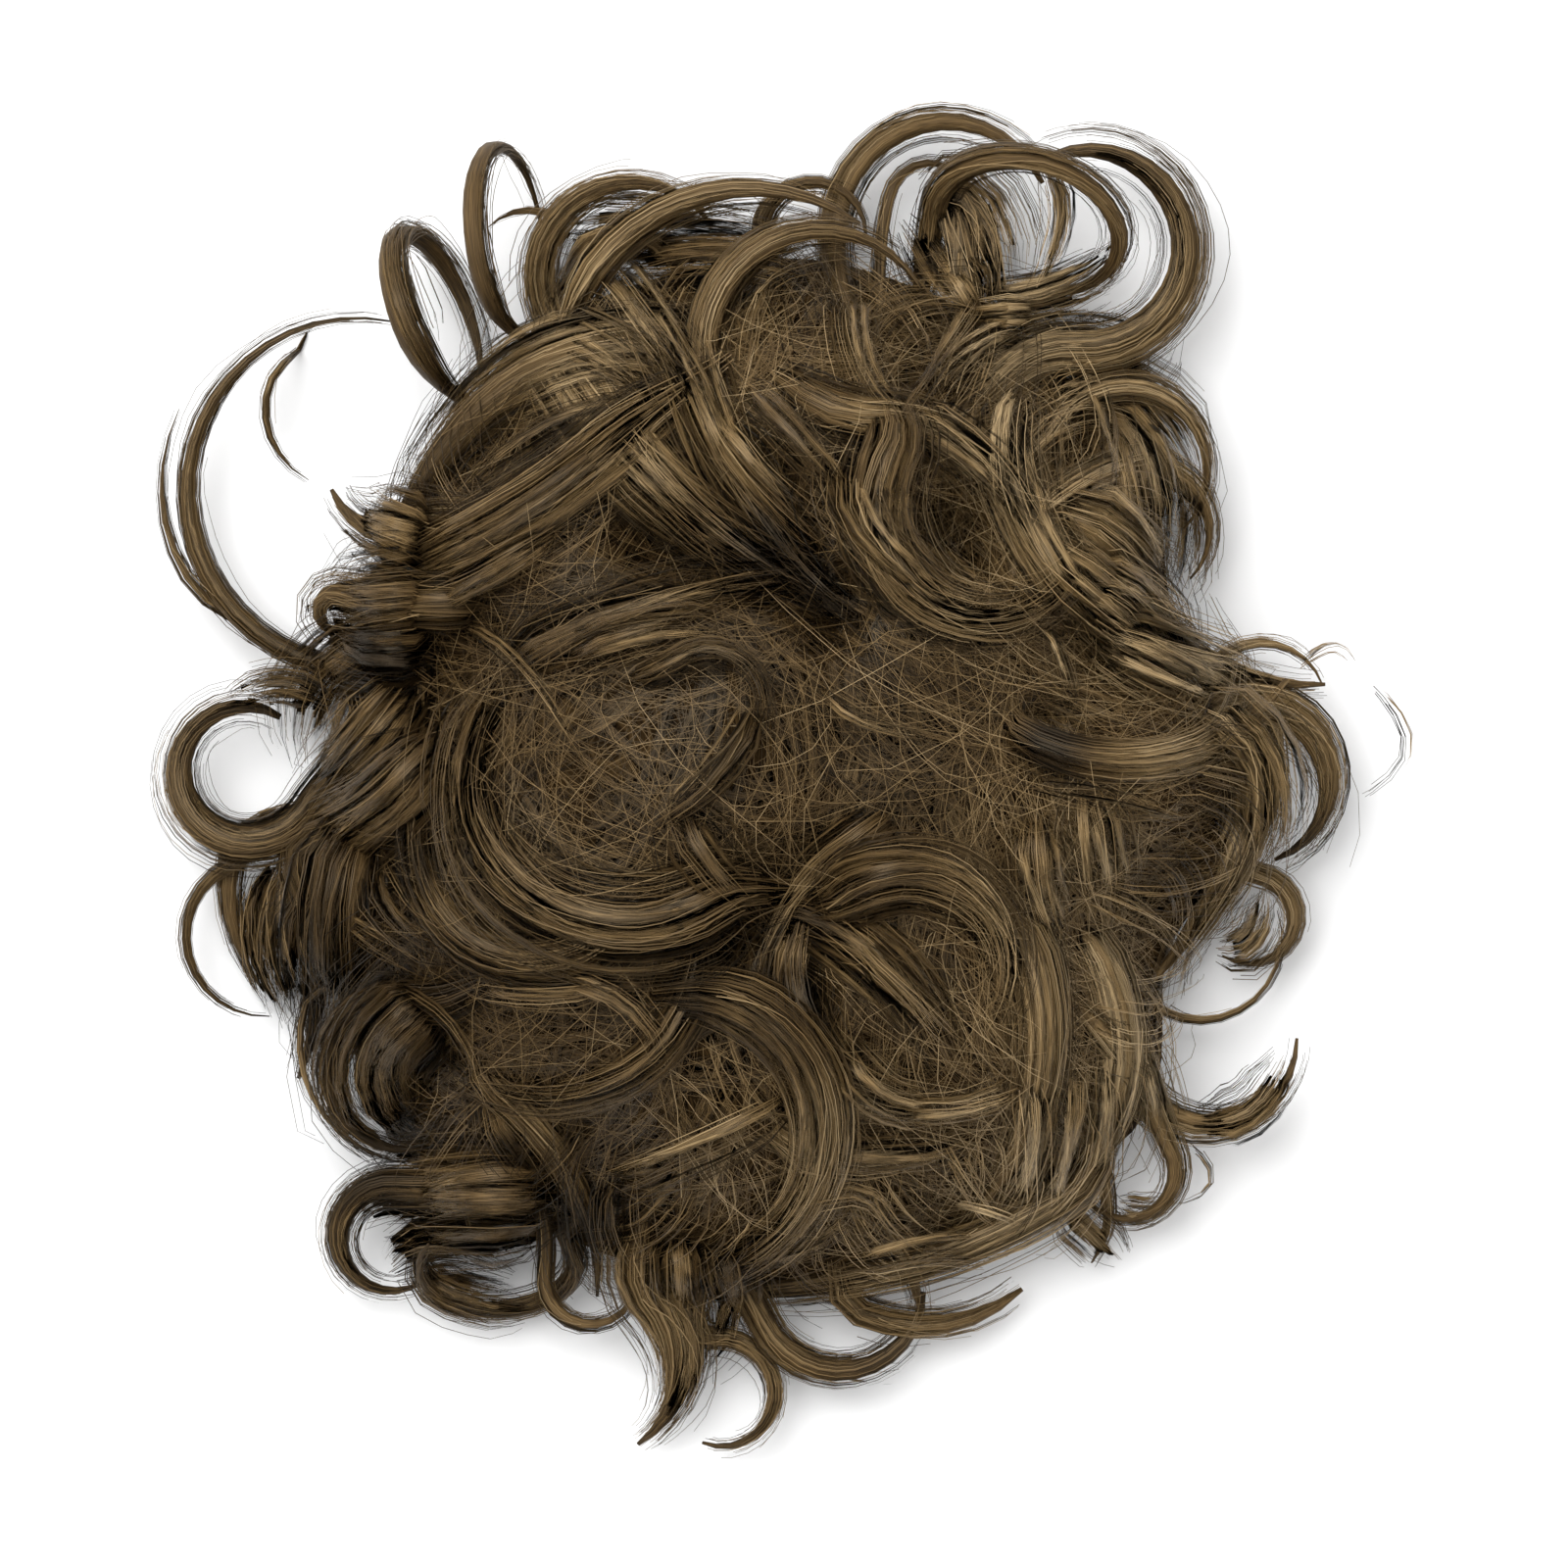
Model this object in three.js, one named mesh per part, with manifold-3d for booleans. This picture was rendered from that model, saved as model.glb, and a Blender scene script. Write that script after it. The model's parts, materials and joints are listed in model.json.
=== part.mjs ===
// Curly wiglet: a small domed net base with a bound edge and a comb, under a round pile of loose curls.
// Millimetres, +Z up. The wiglet lies on a surface, and the origin is the bottom centre of its box.
import * as THREE from "three";
import { mergeVertices } from "three/addons/utils/BufferGeometryUtils.js";
import Module from "manifold-3d";

const wasm = await Module();
wasm.setup();

// Driving dimensions
const GAP = 0.3; // clearance between neighbouring pieces
const HEAD_RADIUS = 95; // curve of the base's inside, which sits on the crown of a head
const BASE_RADIUS = 54; // inside of the base's rim
const BASE_WALL = 1.6;
const BINDING = { inner: 52.5, outer: 57, height: 3, round: 0.8 };
const COMB = { width: 38, spine: 6, tooth: 17, teeth: 9, toothShare: 0.55, thick: 1.6, front: -46, tilt: 22 };
const PILE = { height: 56, crown: 2.2, shoulder: 0.6, foot: 0.97, segments: 36, rings: 8 };
const LOCK = { sides: 5, leadSteps: 2, stepAngle: 36, fewestSteps: 4 };
const TAPER = { rootShare: 0.7, rootSpan: 0.3, tipSpan: 0.55 }; // of a lock's length and of its full size
const SETTLE = { sink: 6, rest: 2, span: 0.3 }; // a lock's depth at its root, its height on the pile
const FLOOR_CLEARANCE = 0.3; // the hair's underside above the surface that the base rests on
const REACH = 150; // half the side of the block that trims hair off at the floor
const MERGE_DISTANCE = 1e-4; // points closer than this are one point
const TANGENT_STEP = 0.02; // share of an arc that gives its direction at the start

const rad = THREE.MathUtils.degToRad;

// A text table with named columns as a list of objects: the first column is a word, the others are numbers.
function readTable(text) {
  const [header, ...rows] = text.trim().split("\n").map((line) => line.trim().split(/\s+/));
  return rows.map((cells) =>
    Object.fromEntries(header.map((column, i) => [column, i === 0 ? cells[i] : Number(cells[i])])),
  );
}

// Outline of the dense pile, seen from above: its radius at every 22.5 degrees, counted from +X.
const PILE_OUTLINE = readTable(`
  side        radius
  right         88
  right_up      75
  upper_right   86
  top_right     90
  top           93
  top_left      92
  upper_left    86
  left_up       80
  left          77
  left_down     87
  lower_left    94
  bottom_left   89
  bottom        88
  bottom_right  85
  lower_right   87
  right_down    74
`);

// Round heads of curls that swell out of the pile, and the hollows between them, as a share of its height.
const CURL_HEADS = readTable(`
  name          x    y   radius swell
  crown       -26    8     36    0.10
  spiral       22  -33     26    0.12
  front_curl   36   46     26    0.12
  top_curl      7   72     26    0.22
  lower_left  -42  -40     30    0.14
  upper_left  -52   48     28    0.14
  right_curl   62   44     24    0.24
  right_head   70    2     24    0.20
  lower_right  50  -52     28    0.18
  bottom_curl -14  -60     26    0.14
  left_head   -66  -12     26    0.18
  crown_pit     2  -22     15   -0.16
  curl_pit     32   41     13   -0.22
  crest_pit    -6   44     16   -0.14
  left_pit    -58   22     18   -0.16
  lower_pit   -34  -62     16   -0.16
`);

// The locks. Each one leads from its root in the pile to a spiral arc round a middle point:
//   root_*   where the lock leaves the pile
//   mid_*    middle of the arc, with its radius at both ends, the angle it starts from and its sweep
//   z_*      height at the arc's two ends, above the pile's top where drape is 1
//   axis     direction in plan that a tilted arc turns about, and tilt is how far it turns
//   wide     size across the lock in the arc's plane, and deep is its size across that plane
//   tip      share of the size that is left at the tip
const LOCKS = readTable(`
  name    root_x root_y root_z mid_x mid_y r_root r_tip from sweep z_root z_tip axis tilt drape wide deep tip
  side_sweep       -58   17   20   -69    49   31   32   245  -153   12   16    0    0   0  6.5  4.5  0.3
  side_wisp        -86   24   12   -75    50   30   30   212   -58   13   15    0    0   0  2    1.8  0.5
  left_loop        -50   62   28   -59.5  80   15   15   252  -285   20   20  112   70   0  3.2  4.8  0.8
  left_top_loop    -38   72   24   -47    93   16   16   246  -235   19   19   96   70   0  3    3.8  0.5
  arch_left        -38   66   26   -26    87   16   16   215  -180   14   20    0   15   0  7    6    0.7
  arch_inner       -40   84   20   -28    83   11   11   110  -140   20   16    0    0   0  4    4    0.7
  top_bridge       -40   72   26    -6    68   33   33   140   -85   24   26    0    0   0  6.5  5    0.7
  top_hook          -8   70   18     5    94    9    9   200  -200   13   14    0    0   0  4.5  5    0.8
  top_loop          12   70   16    27.5  94   18.5 18.5 165  -130   12   15    0    0   0  4.6  5    0.8
  inner_loop        22   72   14    41.5  95   16   16   170  -265   20   20  -16   51   0  4.6  4.8  0.8
  big_loop          24   56   34    53.5  91   17.5 16.3 -97   210   17   15    0    0   0  9    7    0.5
  right_curl        34   50   36    58.5  53.5 14   14   150  -195   24   13    0    0   0  5    6    0.6
  right_lump        38   42   40    62    43   11   11   110  -155   20    9    0    0   0  7    6    0.4
  right_shelf       44   44   36    90    55   38   38  -150    64   24   13    0    0   0  7    6    0.7
  right_arch        60   14   24    82    13   11.5 11   150  -130   14   13    0    0   0  2.8  3    0.7
  right_bridge      36   16   46    57.5  40   36.5 36  -118    80   34   18    0    0   0  8    5    0.8
  right_turn        66    8   24    80     0   14.5 14.5 105  -175   18   10    0    0   0  8    6    0.6
  right_fall        74   10   20    10    15   72   72    -5   -38   18    9    0    0   0  9    5    0.6
  right_ring        70  -10   18    80   -23    7.5  8    75  -200   11    7    0    0   0  4.5  5    0.6
  right_wisp        56  -30   20    71.5 -26.5 14   14  -145   165    9   10    0    0   0  1.6  1.6  0.6
  right_tail        46  -34   32    73   -43.5 14.8 14.8 -150  150   14   14    0    0   0  7    5    0.6
  fall_inner        34  -20   48   -10   -42   53   53    16   -53   36    7    0    0   0 10    5    0.6
  fall_middle       46  -22   44    20   -46   36.5 36    26   -78   30    6    0    0   0  9.5  5.5  0.6
  fall_curl         54  -28   36    58.5 -66.5  8.5  8    28  -185   14    7    0    0   0  5.5  5    0.6
  fall_stub         54  -62   12    40   -75   16   15    12   -42    8    4.5  0    0   0  2.8  2.8  0.8
  bottom_sweep      56  -52   22   -10    20  107  107   -56   -37   18    9    0    0   0 10    7    0.7
  bottom_hook      -12  -72   24    20   -56   44   44  -140    56   12    5    0    0   0  4.4  4.4  0.8
  bottom_drop       14  -70   20   -10   -94   33.5 33.5  20   -30   15    5    0    0   0  4    3.5  0.8
  bottom_spur        8  -78   16    24   -66   27   27  -115    64   11    6    0    0   0  4.2  4    0.6
  bottom_tail      -14  -70   26   -31   -100  17.5 18   34   -92   17    5    0    0   0  9    6    0.3
  bottom_curl       -8  -76   22   -10  -105   10    9    80  -190   11    5    0    0   0  4.4  4.4  0.5
  roll_outer       -34  -68   26   -66   -78    9    8.5  85   218   16    7    0    0   0  8    7    0.5
  roll_inner       -30  -72   22   -49   -83.5 13.5 13.5  30  -240   16   16    5   52   0  4.4  4.6  0.8
  roll_small       -42  -66   24   -33   -84.5  8    8    170   195   14   12    0    0   0  3.4  3.6  0.8
  wrap_left        -44  -30   44   -64   -49.5 13   13    80   205   30   18    0    0   0  8    7    0.6
  left_thin        -72   -8   20   -88   -26.5 14   13.5 120   152   12    6    0    0   0  2.2  2.2  0.6
  left_hang        -66   -6   28   -76   -23   18   18   155    72   16    6    0    0   0  7    5    0.5
  left_drop        -66    2   34  -130   -32   46   46    26   -46   20    4.5  0    0   0  8    6    0.7
  ring_curl        -62   18   34   -91.3   2.5 12.6 11.6 -52  -245   17   11    0    0   0  9    6    0.5
  left_knob        -48   30   46   -75    26    6.8  6    70   190   27   20    0    0   0  7    8    0.6
  left_peak        -48   42   44   -65    55   13   13   -80   -78   25   21    0    0   0  8    7    0.3
  left_strand      -58   28   40  -140    20   72   72     3   -44   27   14    0    0   0  6    5    0.5
  upper_left_band   -6   64   46   -22    30   44   45    85    84   32   22    0    0   0 13    8    0.6
  crest_left       -16   60   50   -95   130  100  100   -48   -35    3    2    0    0   1 12    7    0.6
  crest_fan        -34   64   40    40   110   85   85  -147    38    3    1    0    0   1 14    7    0.6
  crest_long       -22   82   26    60    90   78   78   187    47    4    2    0    0   1 11    7    0.6
  crown_curl        14   70   40    36    45   21   14.5 150   195    4    3    0    0   1 12    7    0.6
  crown_side        10   66   42    14    33   28.5 28.5  92   -96    3    2    0    0   1  8    6    0.6
  centre_curl        6  -18   56   -30     5   31   18   -52  -178    5    2    0    0   1 15    8    0.6
  centre_outer     -18  -22   52   -40   -10   18.5 22.5 -62  -175    3    2    0    0   1  8    6    0.6
  centre_wisp      -28   16   52   -12.5  13.5  8.5  9.5 120  -165    4    4    0    0   1  4    4    0.7
  centre_band      -44   18   38    10   -80  114  114   118   -27    1    1    0    0   1 10    6    0.7
  knot_strand       16   -4   48    30   -38   34   34   118    60    3    0    0    0   1  7    6    0.7
  right_spiral       0  -22   56    22   -33   18   15.5 132  -200    4    2    0    0   1  8    7    0.6
  spiral_fan        -4  -22   54   -10   -60   40   40    72   -55    2    1    0    0   1 11    6    0.6
  spiral_back        4  -18   54    24   -32   22   22   160   122    2    1    0    0   1  9    7    0.6
  long_curl        -26  -28   52   -18   -55   19.5 25    96  -198    4    4    0    0   1 10    7    0.6
  lower_ring       -10  -30   54   -40   -27   25.5 26   -18  -128    2    2    0    0   1  6    5    0.6
  top_frizz        -10   56   46     7    74   20.5 19   200  -168   35   28    0    0   0  7    7    0.6
  top_side          58   66   24    50    56   27   27    95    80   24   34    0    0   0  9    7    0.6
  lower_strand     -52  -42   44   -75   -85   43   43    50   -54   28    9    0    0   0  7    6    0.6
`);

const smooth = (x) => {
  const t = THREE.MathUtils.clamp(x, 0, 1);
  return t * t * (3 - 2 * t);
};

// A closed mesh with its shared points merged and its collapsed triangles dropped, as a solid.
function solid(geometry) {
  const bare = geometry.index ? geometry.toNonIndexed() : geometry.clone();
  bare.deleteAttribute("normal");
  bare.deleteAttribute("uv");
  const merged = mergeVertices(bare, MERGE_DISTANCE);
  const triangles = [];
  const index = merged.index.array;
  for (let i = 0; i < index.length; i += 3) {
    const [a, b, c] = [index[i], index[i + 1], index[i + 2]];
    if (a !== b && b !== c && c !== a) triangles.push(a, b, c);
  }
  return new wasm.Manifold(
    new wasm.Mesh({
      numProp: 3,
      vertProperties: new Float32Array(merged.attributes.position.array),
      triVerts: new Uint32Array(triangles),
    }),
  );
}

function geometryOf(body) {
  const mesh = body.getMesh();
  return new THREE.BufferGeometry()
    .setAttribute("position", new THREE.BufferAttribute(mesh.vertProperties, 3))
    .setIndex(new THREE.BufferAttribute(mesh.triVerts, 1));
}

// A solid of revolution about Z from a profile of [radius, height] points.
function turned(profile, segments) {
  const points = profile.map(([r, z]) => new THREE.Vector2(r, z));
  return new THREE.LatheGeometry(points, segments).rotateX(Math.PI / 2);
}

// A skin over rows of points, each row a closed ring, with flat ends.
function loft(rings) {
  const count = rings[0].length;
  const last = (rings.length - 1) * count;
  const index = [];
  for (let row = 0; row < rings.length - 1; row++) {
    for (let k = 0; k < count; k++) {
      const [a, b] = [row * count + k, row * count + ((k + 1) % count)];
      index.push(a, b, b + count, a, b + count, a + count);
    }
  }
  for (let k = 1; k < count - 1; k++) {
    index.push(0, k + 1, k, last, last + k, last + k + 1);
  }
  return new THREE.BufferGeometry().setFromPoints(rings.flat()).setIndex(index);
}

// The dome that the base follows: a sphere round a point below the floor.
const RIM_HEIGHT = BINDING.height + GAP;
const DOME_CENTRE = RIM_HEIGHT - Math.sqrt(HEAD_RADIUS ** 2 - BASE_RADIUS ** 2);
const DOME_STEPS = 6;

// Points of a dome's section from the axis out to a radius, or the other way round.
function domeArc(radius, reach, outward) {
  const widest = Math.asin(reach / radius);
  return Array.from({ length: DOME_STEPS + 1 }, (_, i) => {
    const angle = (widest * (outward ? i : DOME_STEPS - i)) / DOME_STEPS;
    return [radius * Math.sin(angle), DOME_CENTRE + radius * Math.cos(angle)];
  });
}

const BASE_SEGMENTS = 32;
const OUTER_RADIUS = HEAD_RADIUS + BASE_WALL;

function baseCap() {
  const rimOutside = (BASE_RADIUS * OUTER_RADIUS) / HEAD_RADIUS;
  const profile = [
    ...domeArc(HEAD_RADIUS, BASE_RADIUS, true),
    ...domeArc(OUTER_RADIUS, rimOutside, false),
  ];
  return turned(profile, BASE_SEGMENTS);
}

// A band sewn round the rim, flat underneath, with its edges eased.
function edgeBinding() {
  const { inner, outer, height, round } = BINDING;
  const profile = [
    [inner, round],
    [inner + round, 0],
    [outer - round, 0],
    [outer, round],
    [outer, height - round],
    [outer - round, height],
    [inner + round, height],
    [inner, height - round],
    [inner, round],
  ];
  return turned(profile, BASE_SEGMENTS);
}

// One flat comb: a spine across the front with teeth that point to the middle of the base.
function comb() {
  const { width, spine, tooth, teeth, toothShare, thick } = COMB;
  const pitch = width / teeth;
  const outline = new THREE.Shape();
  outline.moveTo(-width / 2, 0);
  outline.lineTo(width / 2, 0);
  outline.lineTo(width / 2, spine);
  for (let k = teeth - 1; k >= 0; k--) {
    const middle = -width / 2 + pitch * (k + 0.5);
    const half = (pitch * toothShare) / 2;
    outline.lineTo(middle + half, spine);
    outline.lineTo(middle + half / 2, spine + tooth);
    outline.lineTo(middle - half / 2, spine + tooth);
    outline.lineTo(middle - half, spine);
  }
  outline.lineTo(-width / 2, spine);
  return new THREE.ExtrudeGeometry(outline, { depth: thick, bevelEnabled: false });
}

// Radius of the dense pile in a direction, eased between the rows of its outline.
function pileRadius(angle) {
  const rows = PILE_OUTLINE.length;
  const place = ((angle / (2 * Math.PI)) * rows + rows) % rows;
  const row = Math.floor(place);
  const ease = (1 - Math.cos(Math.PI * (place - row))) / 2;
  const here = PILE_OUTLINE[row % rows].radius;
  return here + (PILE_OUTLINE[(row + 1) % rows].radius - here) * ease;
}

function pileHeight(x, y) {
  const share = Math.min(1, Math.hypot(x, y) / pileRadius(Math.atan2(y, x)));
  const cushion = PILE.height * (1 - share ** PILE.crown) ** PILE.shoulder;
  const swell = CURL_HEADS.reduce((sum, head) => {
    const off = Math.hypot(x - head.x, y - head.y) / head.radius;
    return sum + head.swell * Math.max(0, 1 - off * off);
  }, 0);
  return cushion * (1 + swell);
}

// The dense pile: a cushion over its outline, with rings that crowd towards its steep side.
function pile() {
  const { segments, rings } = PILE;
  const ring = (share, height) =>
    Array.from({ length: segments }, (_, k) => {
      const angle = (2 * Math.PI * k) / segments;
      const r = share * pileRadius(angle);
      const [x, y] = [r * Math.cos(angle), r * Math.sin(angle)];
      return new THREE.Vector3(x, y, height ?? Math.max(FLOOR_CLEARANCE, pileHeight(x, y)));
    });
  const crowded = Array.from({ length: rings }, (_, j) => Math.cos((j * Math.PI) / 2 / rings));
  return loft([ring(PILE.foot, FLOOR_CLEARANCE), ...crowded.slice(1).map((share) => ring(share))]);
}

// Centreline of a lock as points with the two directions across it.
function lockPath(row) {
  const axis = rad(row.axis);
  const tilt = rad(row.tilt);
  const across = new THREE.Vector2(-Math.sin(axis), Math.cos(axis));
  const middle = new THREE.Vector2(row.mid_x, row.mid_y);
  const arcPoint = (s) => {
    const angle = rad(row.from + row.sweep * s);
    const r = row.r_root + (row.r_tip - row.r_root) * s;
    const flat = new THREE.Vector2(r * Math.cos(angle), r * Math.sin(angle));
    const off = flat.dot(across);
    flat.addScaledVector(across, off * (Math.cos(tilt) - 1)).add(middle);
    const height = row.z_root + (row.z_tip - row.z_root) * s + off * Math.sin(tilt);
    return new THREE.Vector3(flat.x, flat.y, height + row.drape * pileHeight(flat.x, flat.y));
  };
  const root = new THREE.Vector3(row.root_x, row.root_y, row.root_z);
  const start = arcPoint(0);
  const lead = start.distanceTo(root);
  const leave = start.clone().sub(root);
  const arrive = arcPoint(TANGENT_STEP).sub(start).setLength(lead);
  const leadPoint = (u) => {
    const [u2, u3] = [u * u, u * u * u];
    return root
      .clone()
      .multiplyScalar(2 * u3 - 3 * u2 + 1)
      .addScaledVector(leave, u3 - 2 * u2 + u)
      .addScaledVector(start, 3 * u2 - 2 * u3)
      .addScaledVector(arrive, u3 - u2);
  };
  const arcSteps = Math.max(LOCK.fewestSteps, Math.round(Math.abs(row.sweep) / LOCK.stepAngle));
  const points = [];
  for (let k = 0; k < LOCK.leadSteps; k++) points.push(leadPoint(k / LOCK.leadSteps));
  for (let k = 0; k <= arcSteps; k++) points.push(arcPoint(k / arcSteps));
  const plane = new THREE.Vector3(
    Math.sin(axis) * Math.sin(tilt),
    -Math.cos(axis) * Math.sin(tilt),
    Math.cos(tilt),
  );
  return { points, plane };
}

// The points of a free lock, which starts inside the pile and then lies on top of it where it would sink in.
function settled(points, shares) {
  const ground = points.map((point) => pileHeight(point.x, point.y));
  const drop = Math.max(0, points[0].z - ground[0] + SETTLE.sink);
  return points.map((point, k) => {
    const rooted = 1 - smooth(shares[k] / SETTLE.span);
    const rest = ground[k] + SETTLE.rest - (SETTLE.rest + SETTLE.sink) * rooted;
    return new THREE.Vector3(point.x, point.y, Math.max(point.z - drop * rooted, rest));
  });
}

// One lock: a flattened tube along its path, narrow at the root, full in the middle and drawn in at the tip.
function lock(row) {
  const { points: route, plane } = lockPath(row);
  const lengths = [0];
  route.slice(1).forEach((p, k) => lengths.push(lengths[k] + p.distanceTo(route[k])));
  const shares = lengths.map((length) => length / lengths.at(-1));
  const points = row.drape ? route : settled(route, shares);
  const rings = points.map((point, k) => {
    const before = points[Math.max(0, k - 1)];
    const after = points[Math.min(points.length - 1, k + 1)];
    const along = after.clone().sub(before).normalize();
    const side = plane.clone().cross(along).normalize();
    const out = along.clone().cross(side);
    const rooted = TAPER.rootShare + (1 - TAPER.rootShare) * smooth(shares[k] / TAPER.rootSpan);
    const tipped = smooth((shares[k] - 1) / TAPER.tipSpan + 1);
    const full = rooted * (1 - (1 - row.tip) * tipped);
    return Array.from({ length: LOCK.sides }, (_, j) => {
      const turn = (2 * Math.PI * j) / LOCK.sides;
      return point
        .clone()
        .addScaledVector(side, (full * row.wide * Math.cos(turn)) / 2)
        .addScaledVector(out, (full * row.deep * Math.sin(turn)) / 2);
    });
  });
  return loft(rings);
}

// All the hair as one solid: the locks fused to the pile, hollow under the base and flat at the floor.
// Only the outer skin is kept, so a pocket that is shut in between locks is filled.
function hair() {
  const seat = turned(
    [[0, -REACH], [BINDING.outer + GAP, -REACH], ...domeArc(OUTER_RADIUS + GAP, BINDING.outer + GAP, false)],
    BASE_SEGMENTS,
  );
  const below = new THREE.BoxGeometry(2 * REACH, 2 * REACH, REACH);
  below.translate(0, 0, FLOOR_CLEARANCE - REACH / 2);
  const whole = LOCKS.reduce((body, row) => body.add(solid(lock(row))), solid(pile()));
  const trimmed = whole.subtract(solid(seat)).subtract(solid(below));
  const skins = trimmed.decompose();
  return geometryOf(skins.reduce((widest, skin) => (skin.volume() > widest.volume() ? skin : widest)));
}

function finish(color, roughness) {
  return new THREE.MeshStandardMaterial({ color, roughness, metalness: 0 });
}

const NET_BROWN = finish(0x3a2c1c, 0.9);
const RIBBON_BROWN = finish(0x33261a, 0.75);
const COMB_BROWN = finish(0x2a1d12, 0.35);
const HAIR_BROWN = finish(0x5a472e, 0.5);

const group = new THREE.Group();

function place(name, geometry, material) {
  const mesh = new THREE.Mesh(geometry, material);
  mesh.name = name;
  group.add(mesh);
  return mesh;
}

place("base_cap", baseCap(), NET_BROWN);
place("edge_binding", edgeBinding(), RIBBON_BROWN);

// The comb lies against the dome's inside: its front corners come within the gap of the net.
const combCorner = Math.hypot(COMB.width / 2, COMB.front);
const combTop = DOME_CENTRE + Math.sqrt(HEAD_RADIUS ** 2 - combCorner ** 2) - GAP;
const combPiece = place("comb", comb(), COMB_BROWN);
combPiece.rotation.x = rad(COMB.tilt);
combPiece.position.set(
  0,
  COMB.front + COMB.thick * Math.sin(rad(COMB.tilt)),
  combTop - COMB.thick * Math.cos(rad(COMB.tilt)),
);

place("hair", hair(), HAIR_BROWN);

// The origin moves to the bottom centre of the whole box.
const box = new THREE.Box3().setFromObject(group);
const centre = box.getCenter(new THREE.Vector3());
group.children.forEach((mesh) => mesh.position.sub(new THREE.Vector3(centre.x, centre.y, 0)));

export default group;
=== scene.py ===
# %% [markdown]
# A curly wiglet lies on a white floor and is seen straight from above.
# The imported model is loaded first, because it fixes where everything sits and how large it is.
# The net base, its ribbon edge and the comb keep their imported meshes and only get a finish.
# The hair is packed as one fused solid. Here it is grown again out of single strands that follow
# the same locks, over the same mound, so that it keeps the solid's form.

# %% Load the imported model
import json
import math

import bpy
import numpy as np
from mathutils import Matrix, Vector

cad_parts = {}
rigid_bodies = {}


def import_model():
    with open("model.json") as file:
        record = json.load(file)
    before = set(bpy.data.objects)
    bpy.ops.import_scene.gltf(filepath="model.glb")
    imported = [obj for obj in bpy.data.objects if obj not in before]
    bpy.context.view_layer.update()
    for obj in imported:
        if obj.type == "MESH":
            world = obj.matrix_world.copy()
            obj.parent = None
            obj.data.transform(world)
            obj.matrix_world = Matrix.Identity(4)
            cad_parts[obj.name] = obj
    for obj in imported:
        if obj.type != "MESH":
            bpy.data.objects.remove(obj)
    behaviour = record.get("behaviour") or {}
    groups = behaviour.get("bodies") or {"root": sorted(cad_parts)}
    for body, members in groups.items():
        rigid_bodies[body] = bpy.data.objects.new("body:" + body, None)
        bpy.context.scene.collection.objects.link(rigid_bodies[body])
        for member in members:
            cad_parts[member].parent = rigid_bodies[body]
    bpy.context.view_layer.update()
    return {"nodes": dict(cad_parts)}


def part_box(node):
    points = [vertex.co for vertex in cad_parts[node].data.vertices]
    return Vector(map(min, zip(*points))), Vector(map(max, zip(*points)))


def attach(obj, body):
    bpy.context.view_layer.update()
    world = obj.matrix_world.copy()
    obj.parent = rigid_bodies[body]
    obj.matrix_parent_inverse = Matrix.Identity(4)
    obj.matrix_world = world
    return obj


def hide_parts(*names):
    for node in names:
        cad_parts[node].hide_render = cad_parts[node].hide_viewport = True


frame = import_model()

MM = 0.001
base_low, base_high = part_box("base_cap")
BASE_MIDDLE = np.array([(base_low.x + base_high.x) / 2, (base_low.y + base_high.y) / 2, 0.0])
print("base middle in metres:", BASE_MIDDLE.round(5))

# %% [markdown]
# The mound of hair is described from the middle of the base, in millimetres.
# Its edge is a radius every 22.5 degrees, starting on the right and going round anticlockwise.
# Its top is a dome that swells where a curl is heaped up and sinks between the curls.
# A sculpted mesh would do too, but a formula can be asked for its height anywhere, which the
# locks that lie on the mound need.

# %% The mound's edge and heaps
def read_cell(word):
    """A number where the word is one, or the word itself."""
    try:
        return float(word)
    except ValueError:
        return word


def read_table(text):
    """Rows as dictionaries: the first line names the columns."""
    lines = [line.split() for line in text.splitlines() if line.strip()]
    return [dict(zip(lines[0], map(read_cell, line))) for line in lines[1:]]


MOUND_EDGE = read_table("""
side          radius
right         88
right_up      75
upper_right   86
top_right     90
top           93
top_left      92
upper_left    86
left_up       80
left          77
left_down     87
lower_left    94
bottom_left   89
bottom        88
bottom_right  85
lower_right   87
right_down    74
""")

HEAPS = read_table("""
name          x    y   radius  swell
crown       -26    8     36    0.10
spiral       22  -33     26    0.12
front_curl   36   46     26    0.12
top_curl      7   72     26    0.22
lower_left  -42  -40     30    0.14
upper_left  -52   48     28    0.14
right_curl   62   44     24    0.24
right_head   70    2     24    0.20
lower_right  50  -52     28    0.18
bottom_curl -14  -60     26    0.14
left_head   -66  -12     26    0.18
crown_pit     2  -22     15   -0.16
curl_pit     32   41     13   -0.22
crest_pit    -6   44     16   -0.14
left_pit    -58   22     18   -0.16
lower_pit   -34  -62     16   -0.16
""")

MOUND_HEIGHT = 56
MOUND_CROWN = 2.2
MOUND_SHOULDER = 0.6
EDGE_RADII = np.array([row["radius"] for row in MOUND_EDGE])


def mound_radius(angle):
    """The mound's edge at an angle in radians, eased between the table's rows."""
    place = (np.asarray(angle) / math.tau * len(EDGE_RADII)) % len(EDGE_RADII)
    row = np.floor(place).astype(int)
    ease = (1 - np.cos(math.pi * (place - row))) / 2
    here = EDGE_RADII[row % len(EDGE_RADII)]
    following = EDGE_RADII[(row + 1) % len(EDGE_RADII)]
    return here + (following - here) * ease


def mound_height(x, y):
    """The mound's height above the floor at a place."""
    share = np.minimum(1, np.hypot(x, y) / mound_radius(np.arctan2(y, x)))
    height = MOUND_HEIGHT * (1 - share ** MOUND_CROWN) ** MOUND_SHOULDER
    relief = 1.0
    for heap in HEAPS:
        gap = np.hypot(x - heap["x"], y - heap["y"]) / heap["radius"]
        relief = relief + heap["swell"] * np.maximum(0, 1 - gap ** 2)
    return height * relief


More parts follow.
